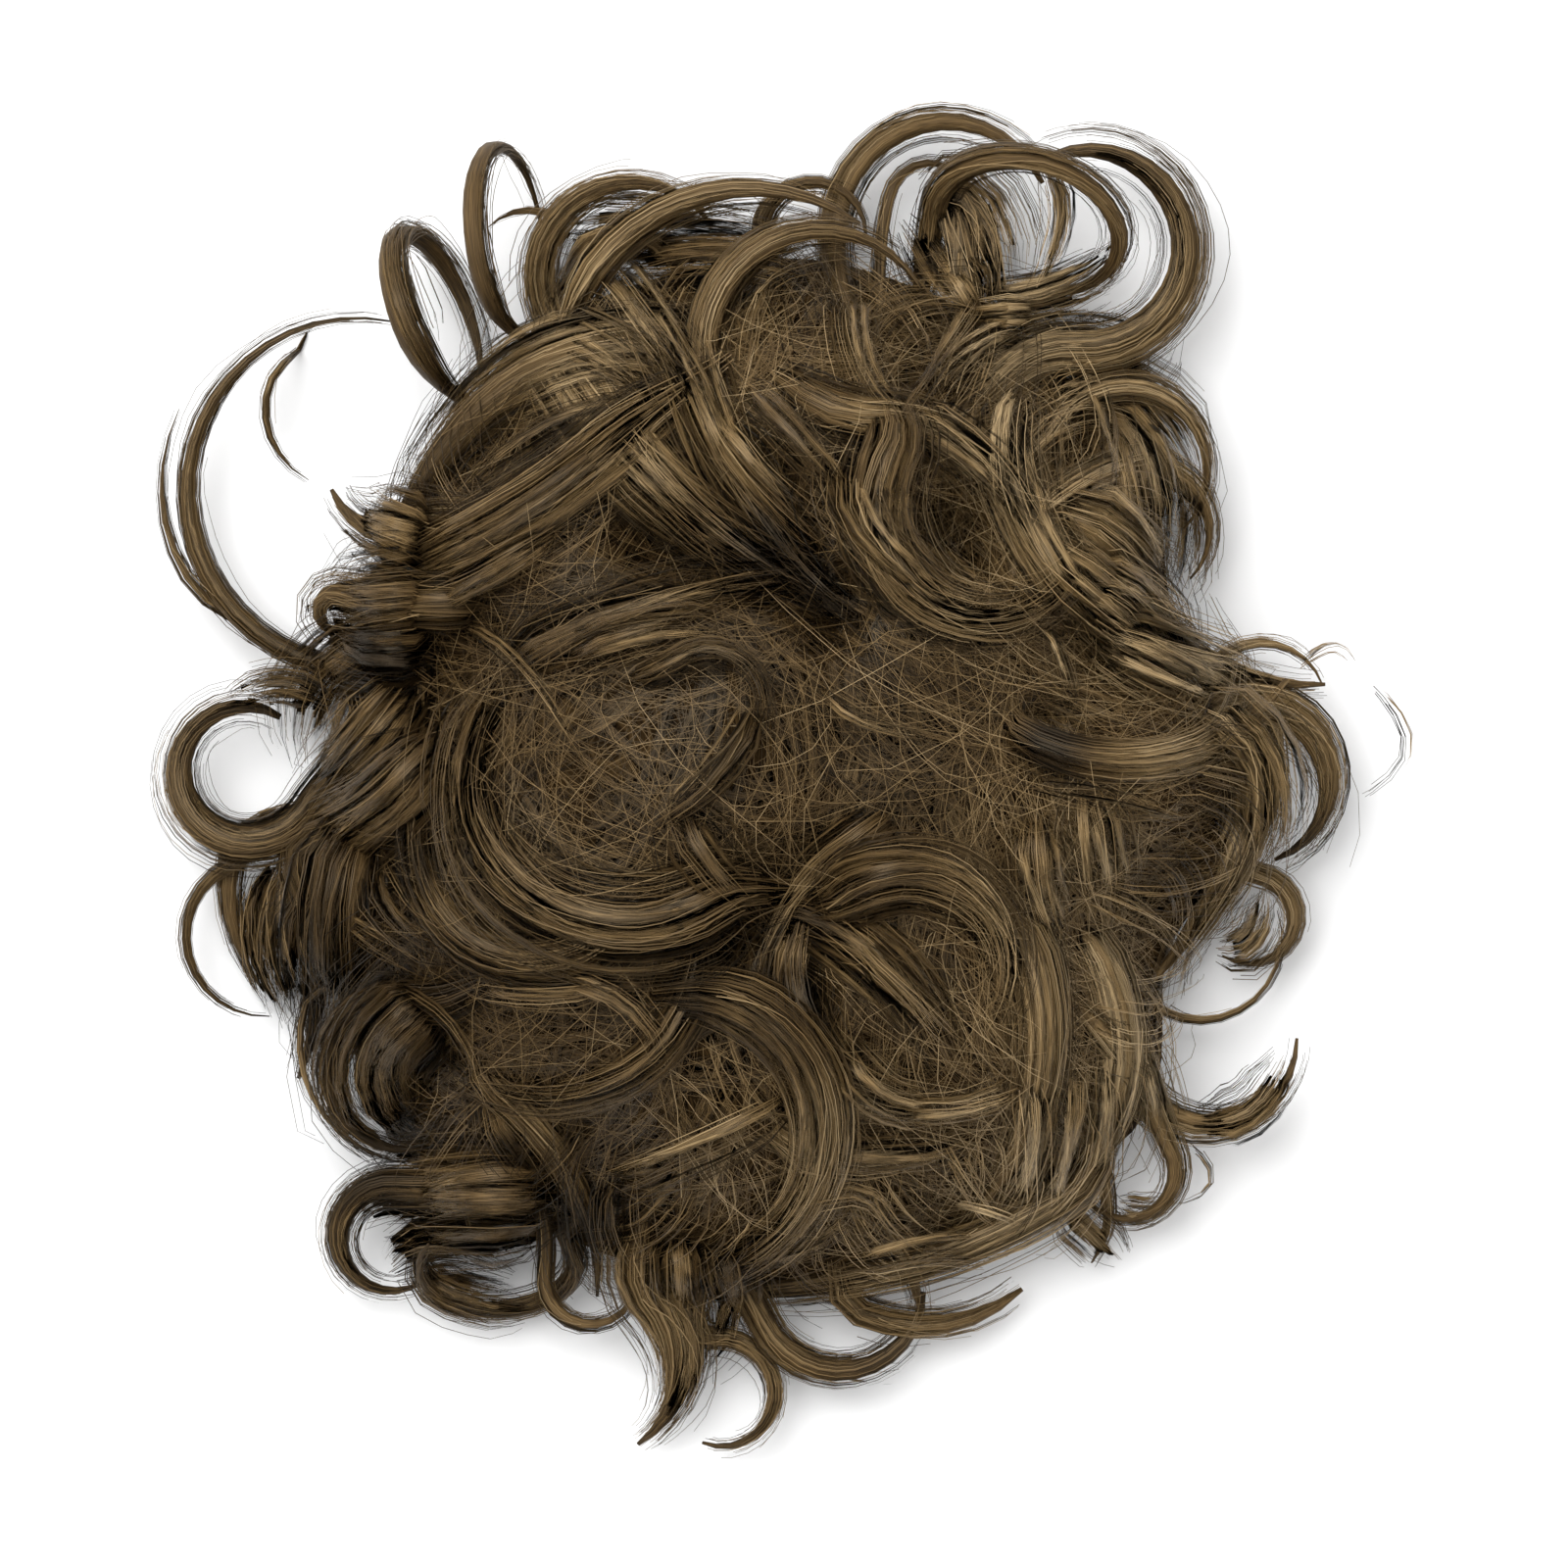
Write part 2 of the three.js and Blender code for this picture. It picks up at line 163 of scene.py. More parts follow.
print("mound: height", float(mound_height(np.array(0.0), np.array(0.0))), "mm at the middle")

# %% [markdown]
# Every lock is one row. It leaves the mound at its root, eases into an arc about a middle point and
# ends in a tip, as a curl that was wound on a rod does. The arc starts at an angle and sweeps on,
# while its radius and height run from root to tip. A lock that drapes lies on the mound, and a
# tilted one stands up like a loop on its axis. Wide and deep are the size of the lock's section.
# Curves drawn by hand in the viewport would do as well, but a row can be read and mended.

# %% The table of locks
LOCK_COLUMNS = """
name root_x root_y root_z mid_x mid_y r_root r_tip from sweep z_root z_tip axis tilt drape wide deep tip
"""

LEFT_LOCKS = read_table(LOCK_COLUMNS + """
side_sweep       -58   17   20   -72    51   31   28.5 240  -160   12   16    0    0   0  4.4  4    0.5
side_wisp        -86   24   12   -76.5  51   30   30   212   -58   13   15    0    0   0  2    1.8  0.5
side_branch      -82.5 78   15   -76    64.5 12.5 13.5 140   105   14    8    0    0   0  1.8  1.6  0.5
wrap_left        -44  -30   44   -64   -49.5 13   13    80   205   30   18    0    0   0  8    7    0.6
left_thin        -72   -8   20   -89   -26.5 14   13.5 120   152   12    6    0    0   0  2.6  2.2  0.6
left_hang        -76   -2   20   -66   -18   29.5 29.5 172    45   10    6    0    0   0  5    4    0.6
left_drop        -64   -4   30  -130   -32   50   50    20   -42   14    4.5  0    0   0  8    6    0.7
ring_curl        -62   14   34   -92     2.5 13   10.6 -30  -272   17   11    0    0   0  9    6    0.9
left_knob        -48   30   46   -76    29    3.4  3    70   190   25   18    0    0   0  9    8    0.8
left_peak        -48   42   44   -65    55   13   13   -80   -78   25   21    0    0   0  9    7    0.6
left_strand      -52   32   40  -140    20   78   78     3   -30    2    2    0    0   1  7    5    0.5
lower_strand     -52  -42   44   -75   -85   43   43    50   -54   28    9    0    0   0  7    6    0.6
edge_wisp        -70  -34   22   -62   -44   21   21   165    98   12   16    0    0   0  1.8  1.8  0.6
""")

TOP_LOCKS = read_table(LOCK_COLUMNS + """
left_loop        -50   62   28   -59.5  80   15   15   252  -285   20   20  112   70   0  4    6.6  0.8
left_top_loop    -38   72   24   -47    93   16   16   246  -235   19   19   96   70   0  3.6  5.2  0.6
left_cross       -39   93   17   -43.5  88   10   10    60    75   15   17    0    0   0  1.8  1.8  0.6
arch_left        -38   66   26   -26    87   16   16   215  -180   14   20    0   15   0  7    6    0.7
arch_inner       -40   84   20   -28    83   11   11   110  -140   20   16    0    0   0  4    4    0.7
top_bridge       -40   72   26    -6    68   33   33   140   -85   24   26    0    0   0  6.5  5    0.7
top_hook          -8   70   18     5    94    9    9   200  -200   13   14    0    0   0  4.5  5    0.8
top_loop          12   70   16    27.5  95   18.5 18.5 165  -140   12   15    0    0   0  6    5    1
top_small         16   74   16    25    99    7    7   165  -150   18   18    0    0   0  3    3    0.7
inner_loop        22   72   14    41.5  95   16   16   170  -265   20   20  -16   51   0  5.6  5    1
big_loop          24   56   34    51.7  92   17.5 16.3 -97   220   17   15    0    0   0  9    7    0.9
top_frizz        -10   56   46     7    74   20.5 19   200  -168   35   28    0    0   0  7    7    0.6
top_side          62   68   24    50    50   27   27    80    80    3    2    0    0   1  9    6    0.6
upper_left_band   -2   77   40   -22    30   44   45    85    84   32   22    0    0   0 13    8    0.6
""")

RIGHT_LOCKS = read_table(LOCK_COLUMNS + """
right_curl        34   50   36    58.5  53.5 14   14   150  -195   24   13    0    0   0  5    6    0.6
right_lump        38   42   40    62    43   11   11   110  -155   20    9    0    0   0  7    6    0.4
right_shelf       44   44   36    90    55   38   38  -150    64   24   13    0    0   0  7    6    0.7
right_arch        60   14   24    82    13   11.5 11   150  -130   14   13    0    0   0  2.8  3    0.7
right_bridge      36   16   46    57.5  40   36.5 36  -118    80   34   18    0    0   0  8    5    0.8
right_turn        66    8   24    79.5   0   13.8 13.8 105  -175   18   10    0    0   0  8    6    0.6
right_fall        74   10   20    10    15   72   72    -5   -38   18    9    0    0   0  9    5    0.6
right_ring        70  -10   18    80   -23    7.5  8    75  -200   11    7    0    0   0  4.5  5    0.6
right_wisp        56  -30   20    71.5 -26.5 14   14  -145   165    9   10    0    0   0  1.6  1.6  0.6
right_tail        46  -34   32    73   -43.5 14.8 14.8 -150  150   14   14    0    0   0  7    5    0.6
fall_inner        34  -20   48   -10   -42   53   53    16   -53   36    7    0    0   0 10    5    0.6
fall_middle       46  -22   44    20   -46   36.5 36    26   -78   30    6    0    0   0  9.5  5.5  0.6
fall_curl         54  -28   36    58.5 -66.5  8.5  8    28  -185   14    7    0    0   0  5.5  5    0.6
fall_stub         54  -62   12    40   -75   16   15    12   -42    8    4.5  0    0   0  2.8  2.8  0.8
""")

BOTTOM_LOCKS = read_table(LOCK_COLUMNS + """
bottom_sweep      56  -52   22   -10    20  107  107   -56   -37   18    9    0    0   0 10    7    0.7
bottom_hook      -14  -72   24    10   -86   15   14   205   150   12    9    0    0   0  6.6  5    1
bottom_drop       14  -70   20   -10   -94   33.5 33.5  20   -15   15    8    0    0   0  4    3.5  0.8
bottom_spur        8  -78   16    24   -66   27   27  -115    64   11    6    0    0   0  6    4.6  1
bottom_tail      -23  -70   26   -35.5 -99   17.5 18   40   -95   17    5    0    0   0 13    6    0.4
bottom_curl      -12  -74   22   -11  -105   10    9    95  -205   11    5    0    0   0  5    4.4  0.8
roll_outer       -34  -68   26   -67    -78    9.6  9    85   218   16    7    0    0   0  8    7    0.6
roll_inner       -30  -72   22   -49   -82   13.5 13.5  30  -240   16   16    5   52   0  4.4  4.6  0.8
roll_small       -42  -66   24   -33   -84.5  8    8    170   195   14   12    0    0   0  3.4  3.6  0.8
""")

CROWN_LOCKS = read_table(LOCK_COLUMNS + """
crest_left        -8   72   50   -95   130  100  100   -48   -35    3    2    0    0   1 12    7    0.6
crest_fan        -36   86   20    40   110   85   85  -158    49    3    1    0    0   1 14    7    0.6
crest_long       -22   82   26    60    90   78   78   187    47    4    2    0    0   1 11    7    0.6
crown_curl        14   70   40    36    45   21   14.5 150   195    4    3    0    0   1 12    7    0.6
crown_side        -6   72   42    14    33   28.5 28.5  92   -96    3    2    0    0   1  8    6    0.6
right_drift       30   62   40    98    70   62   62   190    46    2    1    0    0   1  9    6    0.6
centre_curl        6  -18   56   -30     5   31   18   -52  -178    5    2    0    0   1 15    8    0.6
centre_outer     -18  -22   52   -40   -10   18.5 22.5 -62  -175    3    2    0    0   1  8    6    0.6
centre_wisp      -28   16   52   -12.5  13.5  8.5  9.5 120  -165    4    4    0    0   1  4    4    0.7
centre_tail       -6   12   58   -36    24   34   34   -27   -40    4    2    0    0   1  4    4    0.5
centre_band      -44   18   38    10   -80  114  114   118   -27    1    1    0    0   1 10    6    0.7
knot_strand       16   -4   48    30   -38   34   34   118    60    3    0    0    0   1  7    6    0.7
right_spiral       0  -22   56    22   -33   19   14   132  -165    4    2    0    0   1 11    7    0.5
spiral_fan        -4  -22   54   -10   -60   40   40    72   -55    2    1    0    0   1 11    6    0.6
spiral_back        4  -18   54    24   -32   22   22   160   122    2    1    0    0   1  9    7    0.6
long_curl        -26  -28   52   -18   -55   19.5 30    96  -206    4    4    0    0   1 10    7    0.85
lower_ring       -10  -24   54   -40   -27   25.5 26     8  -154    2    2    0    0   1  6    5    0.6
lower_band        -2  -54   42    16   -20   42   42  -110    42    1    1    0    0   1  8    6    0.6
""")

REGIONS = {
    "left_locks": LEFT_LOCKS,
    "top_locks": TOP_LOCKS,
    "right_locks": RIGHT_LOCKS,
    "bottom_locks": BOTTOM_LOCKS,
    "crown_locks": CROWN_LOCKS,
}
print("locks:", {name: len(rows) for name, rows in REGIONS.items()})

# %% [markdown]
# A lock's row becomes a line of points from root to tip. At each point the lock has a direction
# across its width and one out through its depth, so that strands can be laid beside the line.
# Lengths are millimetres, and a span is a share of the lock's length. A curve object could carry
# the line too, but with arrays it is easy to let a free lock down until it lies on the mound.

# %% Lines of the locks
CLOSEST_POINTS = 2.2
WIDEST_POINTS = 4.2
CHORD_DEPTH = 0.08
WISP_SPACING = 4.0
FEWEST_POINTS = 8
ROOT_DIP = 9.0
ROOT_DIP_SPAN = 0.16
TIP_DIP = 4.0
TIP_DIP_SPAN = 0.15
LEAVING_SPAN = 0.3
ROOT_SINK = 6.0
REST_LIFT = 2.0
LEAD_SHARE_STEP = 0.02
ROOT_SHARE = 0.3
ROOT_SPAN = 0.25
TIP_START = 0.45
FLATTENED = 0.35
LEAD_POINTS = 24
SWEEP_POINTS = 90
EVENED_OVER = 5
SHORTEST_VECTOR = 1e-9


def arc_points(lock, share):
    """Points on the lock's arc, at shares of its sweep from root to tip."""
    angle = np.radians(lock["from"] + lock["sweep"] * share)
    radius = lock["r_root"] + (lock["r_tip"] - lock["r_root"]) * share
    axis = math.radians(lock["axis"])
    tilt = math.radians(lock["tilt"])
    across = np.array([-math.sin(axis), math.cos(axis)])
    flat = np.stack([radius * np.cos(angle), radius * np.sin(angle)], axis=-1)
    off = flat @ across
    plan = flat + off[:, None] * (math.cos(tilt) - 1) * across + [lock["mid_x"], lock["mid_y"]]
    rise = lock["z_root"] + (lock["z_tip"] - lock["z_root"]) * share
    height = rise + off * math.sin(tilt) + lock["drape"] * mound_height(plan[:, 0], plan[:, 1])
    return np.column_stack([plan, height])


def unit(vectors):
    """The same directions with a length of 1."""
    length = np.linalg.norm(vectors, axis=-1, keepdims=True)
    return vectors / np.maximum(length, SHORTEST_VECTOR)


def smooth(share):
    """A step that eases from 0 to 1."""
    share = np.clip(share, 0, 1)
    return share * share * (3 - 2 * share)


def lock_spacing(lock):
    """Points lie closer on a tight curl, so that its chords don't show."""
    radius = min(lock["r_root"], lock["r_tip"])
    return float(np.clip(math.sqrt(8 * radius * CHORD_DEPTH), CLOSEST_POINTS, WIDEST_POINTS))


def even_points(points, spacing):
    """The same line with points at even spacing, and each point's share of the length."""
    steps = np.linalg.norm(np.diff(points, axis=0), axis=1)
    length = np.concatenate([[0], np.cumsum(steps)])
    count = max(FEWEST_POINTS, int(length[-1] / spacing))
    share = np.linspace(0, 1, count)
    even = np.column_stack([np.interp(share * length[-1], length, points[:, i]) for i in range(3)])
    return even, share, length[-1]


def settle(points, share):
    """Heights of a free lock that starts inside the mound and then lies on it where it would sink."""
    ground = mound_height(points[:, 0], points[:, 1])
    leaving = smooth(share / LEAVING_SPAN)
    height = points[:, 2] - max(0, points[0, 2] - ground[0] + ROOT_SINK) * (1 - leaving)
    rest = ground + REST_LIFT - (REST_LIFT + ROOT_SINK) * (1 - leaving)
    padded = np.pad(rest, EVENED_OVER // 2, mode="edge")
    rest = np.convolve(padded, np.ones(EVENED_OVER) / EVENED_OVER, mode="valid")
    return np.maximum(height, rest)


def lock_line(lock):
    """The lock's points, directions and half sizes, as arrays with a row for each point."""
    root = np.array([lock["root_x"], lock["root_y"], lock["root_z"]])
    start, onward = arc_points(lock, np.array([0, LEAD_SHARE_STEP]))
    lead_length = np.linalg.norm(start - root)
    arrive = unit(onward - start) * lead_length
    u = np.linspace(0, 1, LEAD_POINTS, endpoint=False)[:, None]
    lead = (
        root * (2 * u ** 3 - 3 * u ** 2 + 1)
        + (start - root) * (u ** 3 - 2 * u ** 2 + u)
        + start * (3 * u ** 2 - 2 * u ** 3)
        + arrive * (u ** 3 - u ** 2)
    )
    whole = np.vstack([lead, arc_points(lock, np.linspace(0, 1, SWEEP_POINTS))])
    points, share, length = even_points(whole, lock_spacing(lock))
    root_dip = ROOT_DIP * (1 - smooth(share / ROOT_DIP_SPAN))
    tip_dip = TIP_DIP * smooth((share - 1) / TIP_DIP_SPAN + 1)
    points[:, 2] -= lock["drape"] * (root_dip + tip_dip)
    if not lock["drape"]:
        points[:, 2] = settle(points, share)
    axis = math.radians(lock["axis"])
    tilt = math.radians(lock["tilt"])
    plane = np.array([
        math.sin(axis) * math.sin(tilt), -math.cos(axis) * math.sin(tilt), math.cos(tilt)
    ])
    along = unit(np.gradient(points, axis=0))
    side = unit(np.cross(plane, along))
    out = np.cross(along, side)
    rooted = ROOT_SHARE + (1 - ROOT_SHARE) * smooth(share / ROOT_SPAN)
    taper = rooted * (1 - (1 - lock["tip"]) * smooth((share - TIP_START) / (1 - TIP_START)))
    return {
        "points": points, "share": share, "length": length, "side": side, "out": out,
        "half_wide": lock["wide"] / 2 * taper,
        "half_deep": lock["deep"] / 2 * taper * (1 - lock["drape"] * FLATTENED),
    }


LINES = {lock["name"]: lock_line(lock) for rows in REGIONS.values() for lock in rows}
print("hair length in all:", round(sum(line["length"] for line in LINES.values()) * MM, 2), "m of locks")

# %% [markdown]
# Softer wisps fill the mound between the locks. Each is a bend through three places, seen from
# above: where it starts, what it goes through and where it ends. It lies on the mound, a lift above
# it, and tucks both ends under. These are what make the mound look combed by hand and not felted.
# A second table has the webs, which are the thin hair from one lock to the next round the rim. On
# the mound's shoulder the wisps are all alike, so a loop with a fixed seed places them.

# %% The table of wisps
WISP_COLUMNS = """
name         start_x start_y via_x via_y end_x end_y wide deep lift tone
"""

WISPS = read_table(WISP_COLUMNS + """
band_upper      -17    67    -33    68    -50    60    8    4   3   0
band_middle     -18    62    -35    62    -57    48    6    4   3   0
band_high       -30    77    -47    72    -60    58    9    5   3   0
band_edge       -40    78    -53    68    -64    47    7    5   3   0
crest_thread    -25    83    -17    70     -9    53    4    3   5   0.1
parting_left    -40    77    -27    70    -15    60    9    4   6   0
parting_right   -33    90    -23    77    -12    57    8    4   6   0
crest_start     -33    92    -25    87    -18    77    4    3   5   0
side_upper      -27    60    -40    50    -60    40    6    4   3   0
side_lower      -33    47    -50    35    -73    27    7    5   3   0.05
front_drop       12    83     14    68     25    57    6    4   4   0
front_cross      33    85     25    70     15    53    5    3   5   0
front_brow       17    62     33    52     44    38    8    5   3   0
front_slant      43    78     32    74     22    60    4    3   4   0
front_side       40    67     38    53     43    37    8    5   3   0
crest_middle    -12    63      0    47     10    38    8    5   3   0
crest_low        -7    67      3    57     13    47    6    4   3   0
curl_back         7    57      8    43     22    30    7    4   4   0
curl_front       13    55     15    43     28    32    6    4   5   0.05
shelf_inner      48    70     50    55     48    40   10    5   3   0.05
shelf_middle     55    62     58    47     57    33   10    5   3   0.05
shelf_outer      67    55     68    43     65    30    8    5   3   0
loop_foot        45    75     57    72     66    79    8    5   4   0
shelf_top        43    63     55    67     68    63    7    4   4   0.05
neck_upper       47    33     58    27     75    18    9    5   3   0.05
neck_thread      43    27     47    18     48    12    3    2   4   0.15
neck_lower       53    23     63    17     73    13    6    4   3   0.05
neck_back        43    40     52    33     65    23    8    5   3   0
right_thread     40     0     55    -2     68    -6    2    2   5   0.15
right_hang       50     0     52   -10     55   -20    8    4   2   0
right_inner      42    -5     43   -17     47   -27    8    4   2   0
fall_left        40   -47     42   -58     40   -72    7    4   3   0.05
fall_front       47   -43     47   -58     44   -75    8    4   4   0.1
fall_right       53   -42     55   -55     52   -70    8    4   4   0.1
fall_outer       58   -40     62   -52     66   -67    7    4   4   0.05
fall_lip         57   -72     62   -73     67   -72    5    4   6   0
sweep_light      27   -72     35   -72     45   -78    2    2   8   0.35
sweep_low         8   -82     25   -77     43   -80    7    5   6   0.05
sweep_back        0   -72     12   -68     20   -75    6    4   3   0
sweep_high        5   -62     17   -63     32   -62    5    4   3   0
sweep_top        17   -55     30   -55     42   -50    5    4   3   0
sweep_start      -7   -80      5   -77     12   -70    5    4   3   0
rim_low         -77   -47    -75   -58    -63   -65    4    3   4   0
rim_high        -78   -37    -77   -47    -73   -57    7    4   3   0
wrap_inner      -67   -35    -70   -47    -68   -58    8    4   3   0
wrap_drop       -50   -52    -48   -60    -40   -70    5    4   3   0
low_band          4   -50    -14   -60    -35   -68    6    4   2   0
low_drop        -27   -65    -30   -73    -27   -82    6    4   3   0
low_thread      -67   -33    -55   -40    -50   -52    3    2   4   0.1
crown_band      -38    20    -20    25     -6    24    8    4   3   0.05
crown_fall       -4    17     -8     6    -23    -8    4    3   4   0.2
crown_thread    -57    27    -45    20    -33     2    3    2   5   0.2
crown_side_a    -50    18    -55     7    -55   -10    7    4   3   0
knot_left       -17    -2    -12   -12     -3   -22    8    4   1   0
centre_thread     5    17     13    10     27     8    2    2   5   0.2
lower_inner     -27   -33    -40   -35    -53   -33    5    3   3   0
lower_turn      -40   -33    -27   -37    -20   -48    5    3   3   0
spiral_low       10   -43     17   -52     28   -53    6    4   3   0
spiral_bright    13   -25     23   -35     30   -43    7    4   5   0.1
left_inner      -63    17    -65     3    -72   -10    6    4   3   0.05
left_back       -73    18    -77     7    -82     0    6    4   5   0
left_cross_a    -68   -13    -63   -22    -53   -27    6    4   3   0
left_cross_b    -77   -22    -67   -27    -57   -33    5    4   3   0
right_flick      88    20     94    24     98    20    2    2  12   0.05
right_stray     100    18    107     6     98    -3    1    1  12   0.1
low_stray        68   -61     73   -68     67   -72    1    1   8   0.1
under_hook       -1   -95     10  -102     22  -102    2    2   4   0.1
""")

WEBS = read_table(WISP_COLUMNS + """
roll_top        -36   -70    -55   -70    -73   -75   14    6   9   0
roll_middle     -40   -76    -55   -75    -68   -79   10    5   8   0.05
roll_under      -63   -80    -58   -87    -43   -90    6    5   6   0
left_low        -67     2    -78    -7    -93   -11    6    4   8   0
left_curtain    -78   -17    -82   -30    -83   -43    7    5   5   0
web_solid        24   100     33    99     38    84    9    5  15   0
web_middle       44   106     47    97     43    85    4    4  17   0
web_left         20    97     25    90     33    80    9    5  13   0
web_low          32    84     46    85     58    93    5    4  14   0
web_top         -40    95    -20    95      0    92    8    5  12   0
web_inner       -30    88    -12    90      4    86    8    5  12   0
web_fan          28   104     30    94     32    82    8    5  14   0
web_foot         30    80     44    80     56    84    6    4  11   0
loop_fill       -66    92    -64    84    -60    74    3    3  16   0
hang_fill       -82   -12    -86   -24    -84   -38    8    5   8   0
ring_fill       -78    14    -86    17    -96    14    5    4  12   0
roll_fill       -68   -84    -58   -80    -46   -84    8    5   6   0
tail_mass       -12   -78    -10   -91    -16  -102    8    5   8   0.05
tail_middle     -18   -76    -17   -90    -15  -104    8    5   9   0
knob_fill       -58    31    -70    30    -82    28   12    6  13  -0.1
knob_low        -58    24    -69    22    -80    25   10    6  10  -0.1
peak_fill       -60    41    -69    44    -77    48   10    6  14  -0.1
ring_back       -68    24    -80    16    -82     3   10    6  10  -0.1
ring_root       -60    20    -69     7    -85    -5   10    6   9   0.05
ring_under      -56    10    -65    -2    -79   -11   10    6   7   0
hang_back       -70    -6    -75   -20    -75   -38   12    6   8  -0.1
wrap_fill       -58   -36    -69   -48    -63   -61   13    6   8  -0.05
hang_edge       -87   -13    -90   -26    -84   -42    6    4   5   0
fall_fill        48   -72     54   -78     58   -82    6    4   6   0
tail_side        70   -58     80   -56     86   -46    6    4  12   0
ring_side        74   -28     80   -26     82   -18    6    4   8   0
shelf_fill       46    68     62    65     71    52    9    5   6   0.05
shelf_side       50    67     61    54     62    39   11    5   3   0.05
shelf_under      44    46     54    43     63    33   10    5   3   0.05
neck_fill        48    34     59    30     68    19   10    5   4   0.05
neck_band        50    27     64    21     82    17   10    5   6   0.05
turn_fill        68    13     80     5     81   -13    9    5   5   0.05
""")

WISP_DIP = 4.5
WISP_DIP_SPAN = 0.25
WISP_LIFT = 2.8
WISP_SPREAD = 1.4
TUCKED_ABOVE = 14.0
WISP_END = 0.45
WISP_POINTS = 40
RIM_WISPS = 64
RIM_SEED = 21
RIM_JITTER = 0.8
RIM_BEND = (0.12, 0.42)
RIM_VIA_BEND = 0.3
RIM_LIFT = (0.5, 2.0)
RIM_TONE = (-0.08, 0.08)
RIM_WIDE = (6, 11)
RIM_DEEP = (3, 5)
RIM_REACHES = ((0.68, 0.82), (0.90, 0.96), (0.98, 1.03))
UP = np.array([0.0, 0.0, 1.0])


def wisp_line(wisp):
    """The wisp's points, directions and half sizes, as for a lock."""
    start, via, end = (np.array([wisp[at + "_x"], wisp[at + "_y"]]) for at in ("start", "via", "end"))
    u = np.linspace(0, 1, WISP_POINTS)[:, None]
    plan = start * (1 - u) * (1 - 2 * u) + via * 4 * u * (1 - u) + end * u * (2 * u - 1)
    height = mound_height(plan[:, 0], plan[:, 1]) + wisp["lift"] + WISP_LIFT
    points, share, length = even_points(np.column_stack([plan, height]), WISP_SPACING)
    ends = np.minimum(share, 1 - share) / WISP_DIP_SPAN
    ground = mound_height(points[:, 0], points[:, 1])
    tucked = (1 - smooth(ends)) * smooth(ground / TUCKED_ABOVE)
    points[:, 2] -= (WISP_DIP + WISP_LIFT + wisp["lift"]) * tucked
    along = unit(np.gradient(points, axis=0))
    side = unit(np.cross(UP, along))
    out = np.cross(along, side)
    taper = WISP_END + (1 - WISP_END) * smooth(ends)
    return {
        "points": points, "share": share, "length": length, "side": side, "out": out,
        "half_wide": wisp["wide"] * WISP_SPREAD / 2 * taper, "half_deep": wisp["deep"] / 2 * taper,
    }


def rim_wisps(count, seed):
    """Wisps that come over the mound's shoulder all round and bend along its edge."""
    chance = np.random.default_rng(seed)
    rows = []
    for number in range(count):
        angle = math.tau * (number + chance.uniform(0, RIM_JITTER)) / count
        bend = chance.choice([-1, 1]) * chance.uniform(*RIM_BEND)
        row = {
            "name": f"rim_{number}",
            "lift": chance.uniform(*RIM_LIFT),
            "tone": chance.uniform(*RIM_TONE),
            "wide": chance.uniform(*RIM_WIDE),
            "deep": chance.uniform(*RIM_DEEP),
        }
        reaches = [chance.uniform(*reach) for reach in RIM_REACHES]
        turns = (0, bend * RIM_VIA_BEND, bend)
        for place, reach, turn in zip(("start", "via", "end"), reaches, turns):
            radius = reach * float(mound_radius(angle + turn))
            row[place + "_x"] = radius * math.cos(angle + turn)
            row[place + "_y"] = radius * math.sin(angle + turn)
        rows.append(row)
    return rows


DRAWN_WISPS = list(WISPS)
WISPS += rim_wisps(RIM_WISPS, RIM_SEED)
LINES.update({wisp["name"]: wisp_line(wisp) for wisp in WISPS + WEBS})
print("wisps:", len(WISPS), "and webs:", len(WEBS))

# %% [markdown]
# Hair is one brown with many small differences: each strand is a little lighter or darker, and the
# hair beneath is almost black because little light gets there. One colour ramp gives them all, so
# every hair piece only has to carry a tone from 0 to 1. A painted texture could hold the colours,
# but then each hair would need a place of its own in it. The ramp is a node group, which the
# materials share.

# %% The hair's colours
HAIR_COLOURS = [
    (0.00, (0.016, 0.009, 0.0032)),
    (0.35, (0.096, 0.057, 0.0212)),
    (0.65, (0.222, 0.142, 0.059)),
    (1.00, (0.490, 0.350, 0.183)),
]


def add_node(tree, kind, inputs=(), **settings):
    """Adds a node, sets it, feeds its inputs in order with values or sockets, and gives its output."""
    node = tree.nodes.new(kind)
    for name, value in settings.items():
        setattr(node, name, value)
    open_inputs = [socket for socket in node.inputs if socket.enabled]
    for socket, value in zip(open_inputs, inputs):
        if isinstance(value, bpy.types.NodeSocket):
            tree.links.new(value, socket)
        elif value is not None:
            socket.default_value = value
    return next((socket for socket in node.outputs if socket.enabled), None)


def add_math(tree, operation, *values):
    return add_node(tree, "ShaderNodeMath", values, operation=operation)


def add_vector(tree, operation, *values):
    return add_node(tree, "ShaderNodeVectorMath", values, operation=operation)


def new_group(name, kind, inputs, outputs):
    """An empty node group with named sockets, its input node and its output node."""
    tree = bpy.data.node_groups.new(name, kind)
    for label, socket_type, value in inputs:
        socket = tree.interface.new_socket(label, in_out="INPUT", socket_type=socket_type)
        if value is not None:
            socket.default_value = value
    for label, socket_type in outputs:
        tree.interface.new_socket(label, in_out="OUTPUT", socket_type=socket_type)
    return tree, tree.nodes.new("NodeGroupInput"), tree.nodes.new("NodeGroupOutput")


def fill_ramp(socket, stops):
    """Gives a colour ramp its stops."""
    ramp = socket.node.color_ramp
    while len(ramp.elements) < len(stops):
        ramp.elements.new(1.0)
    for element, (place, colour) in zip(ramp.elements, stops):
        element.position = place
        element.color = (*colour, 1.0)


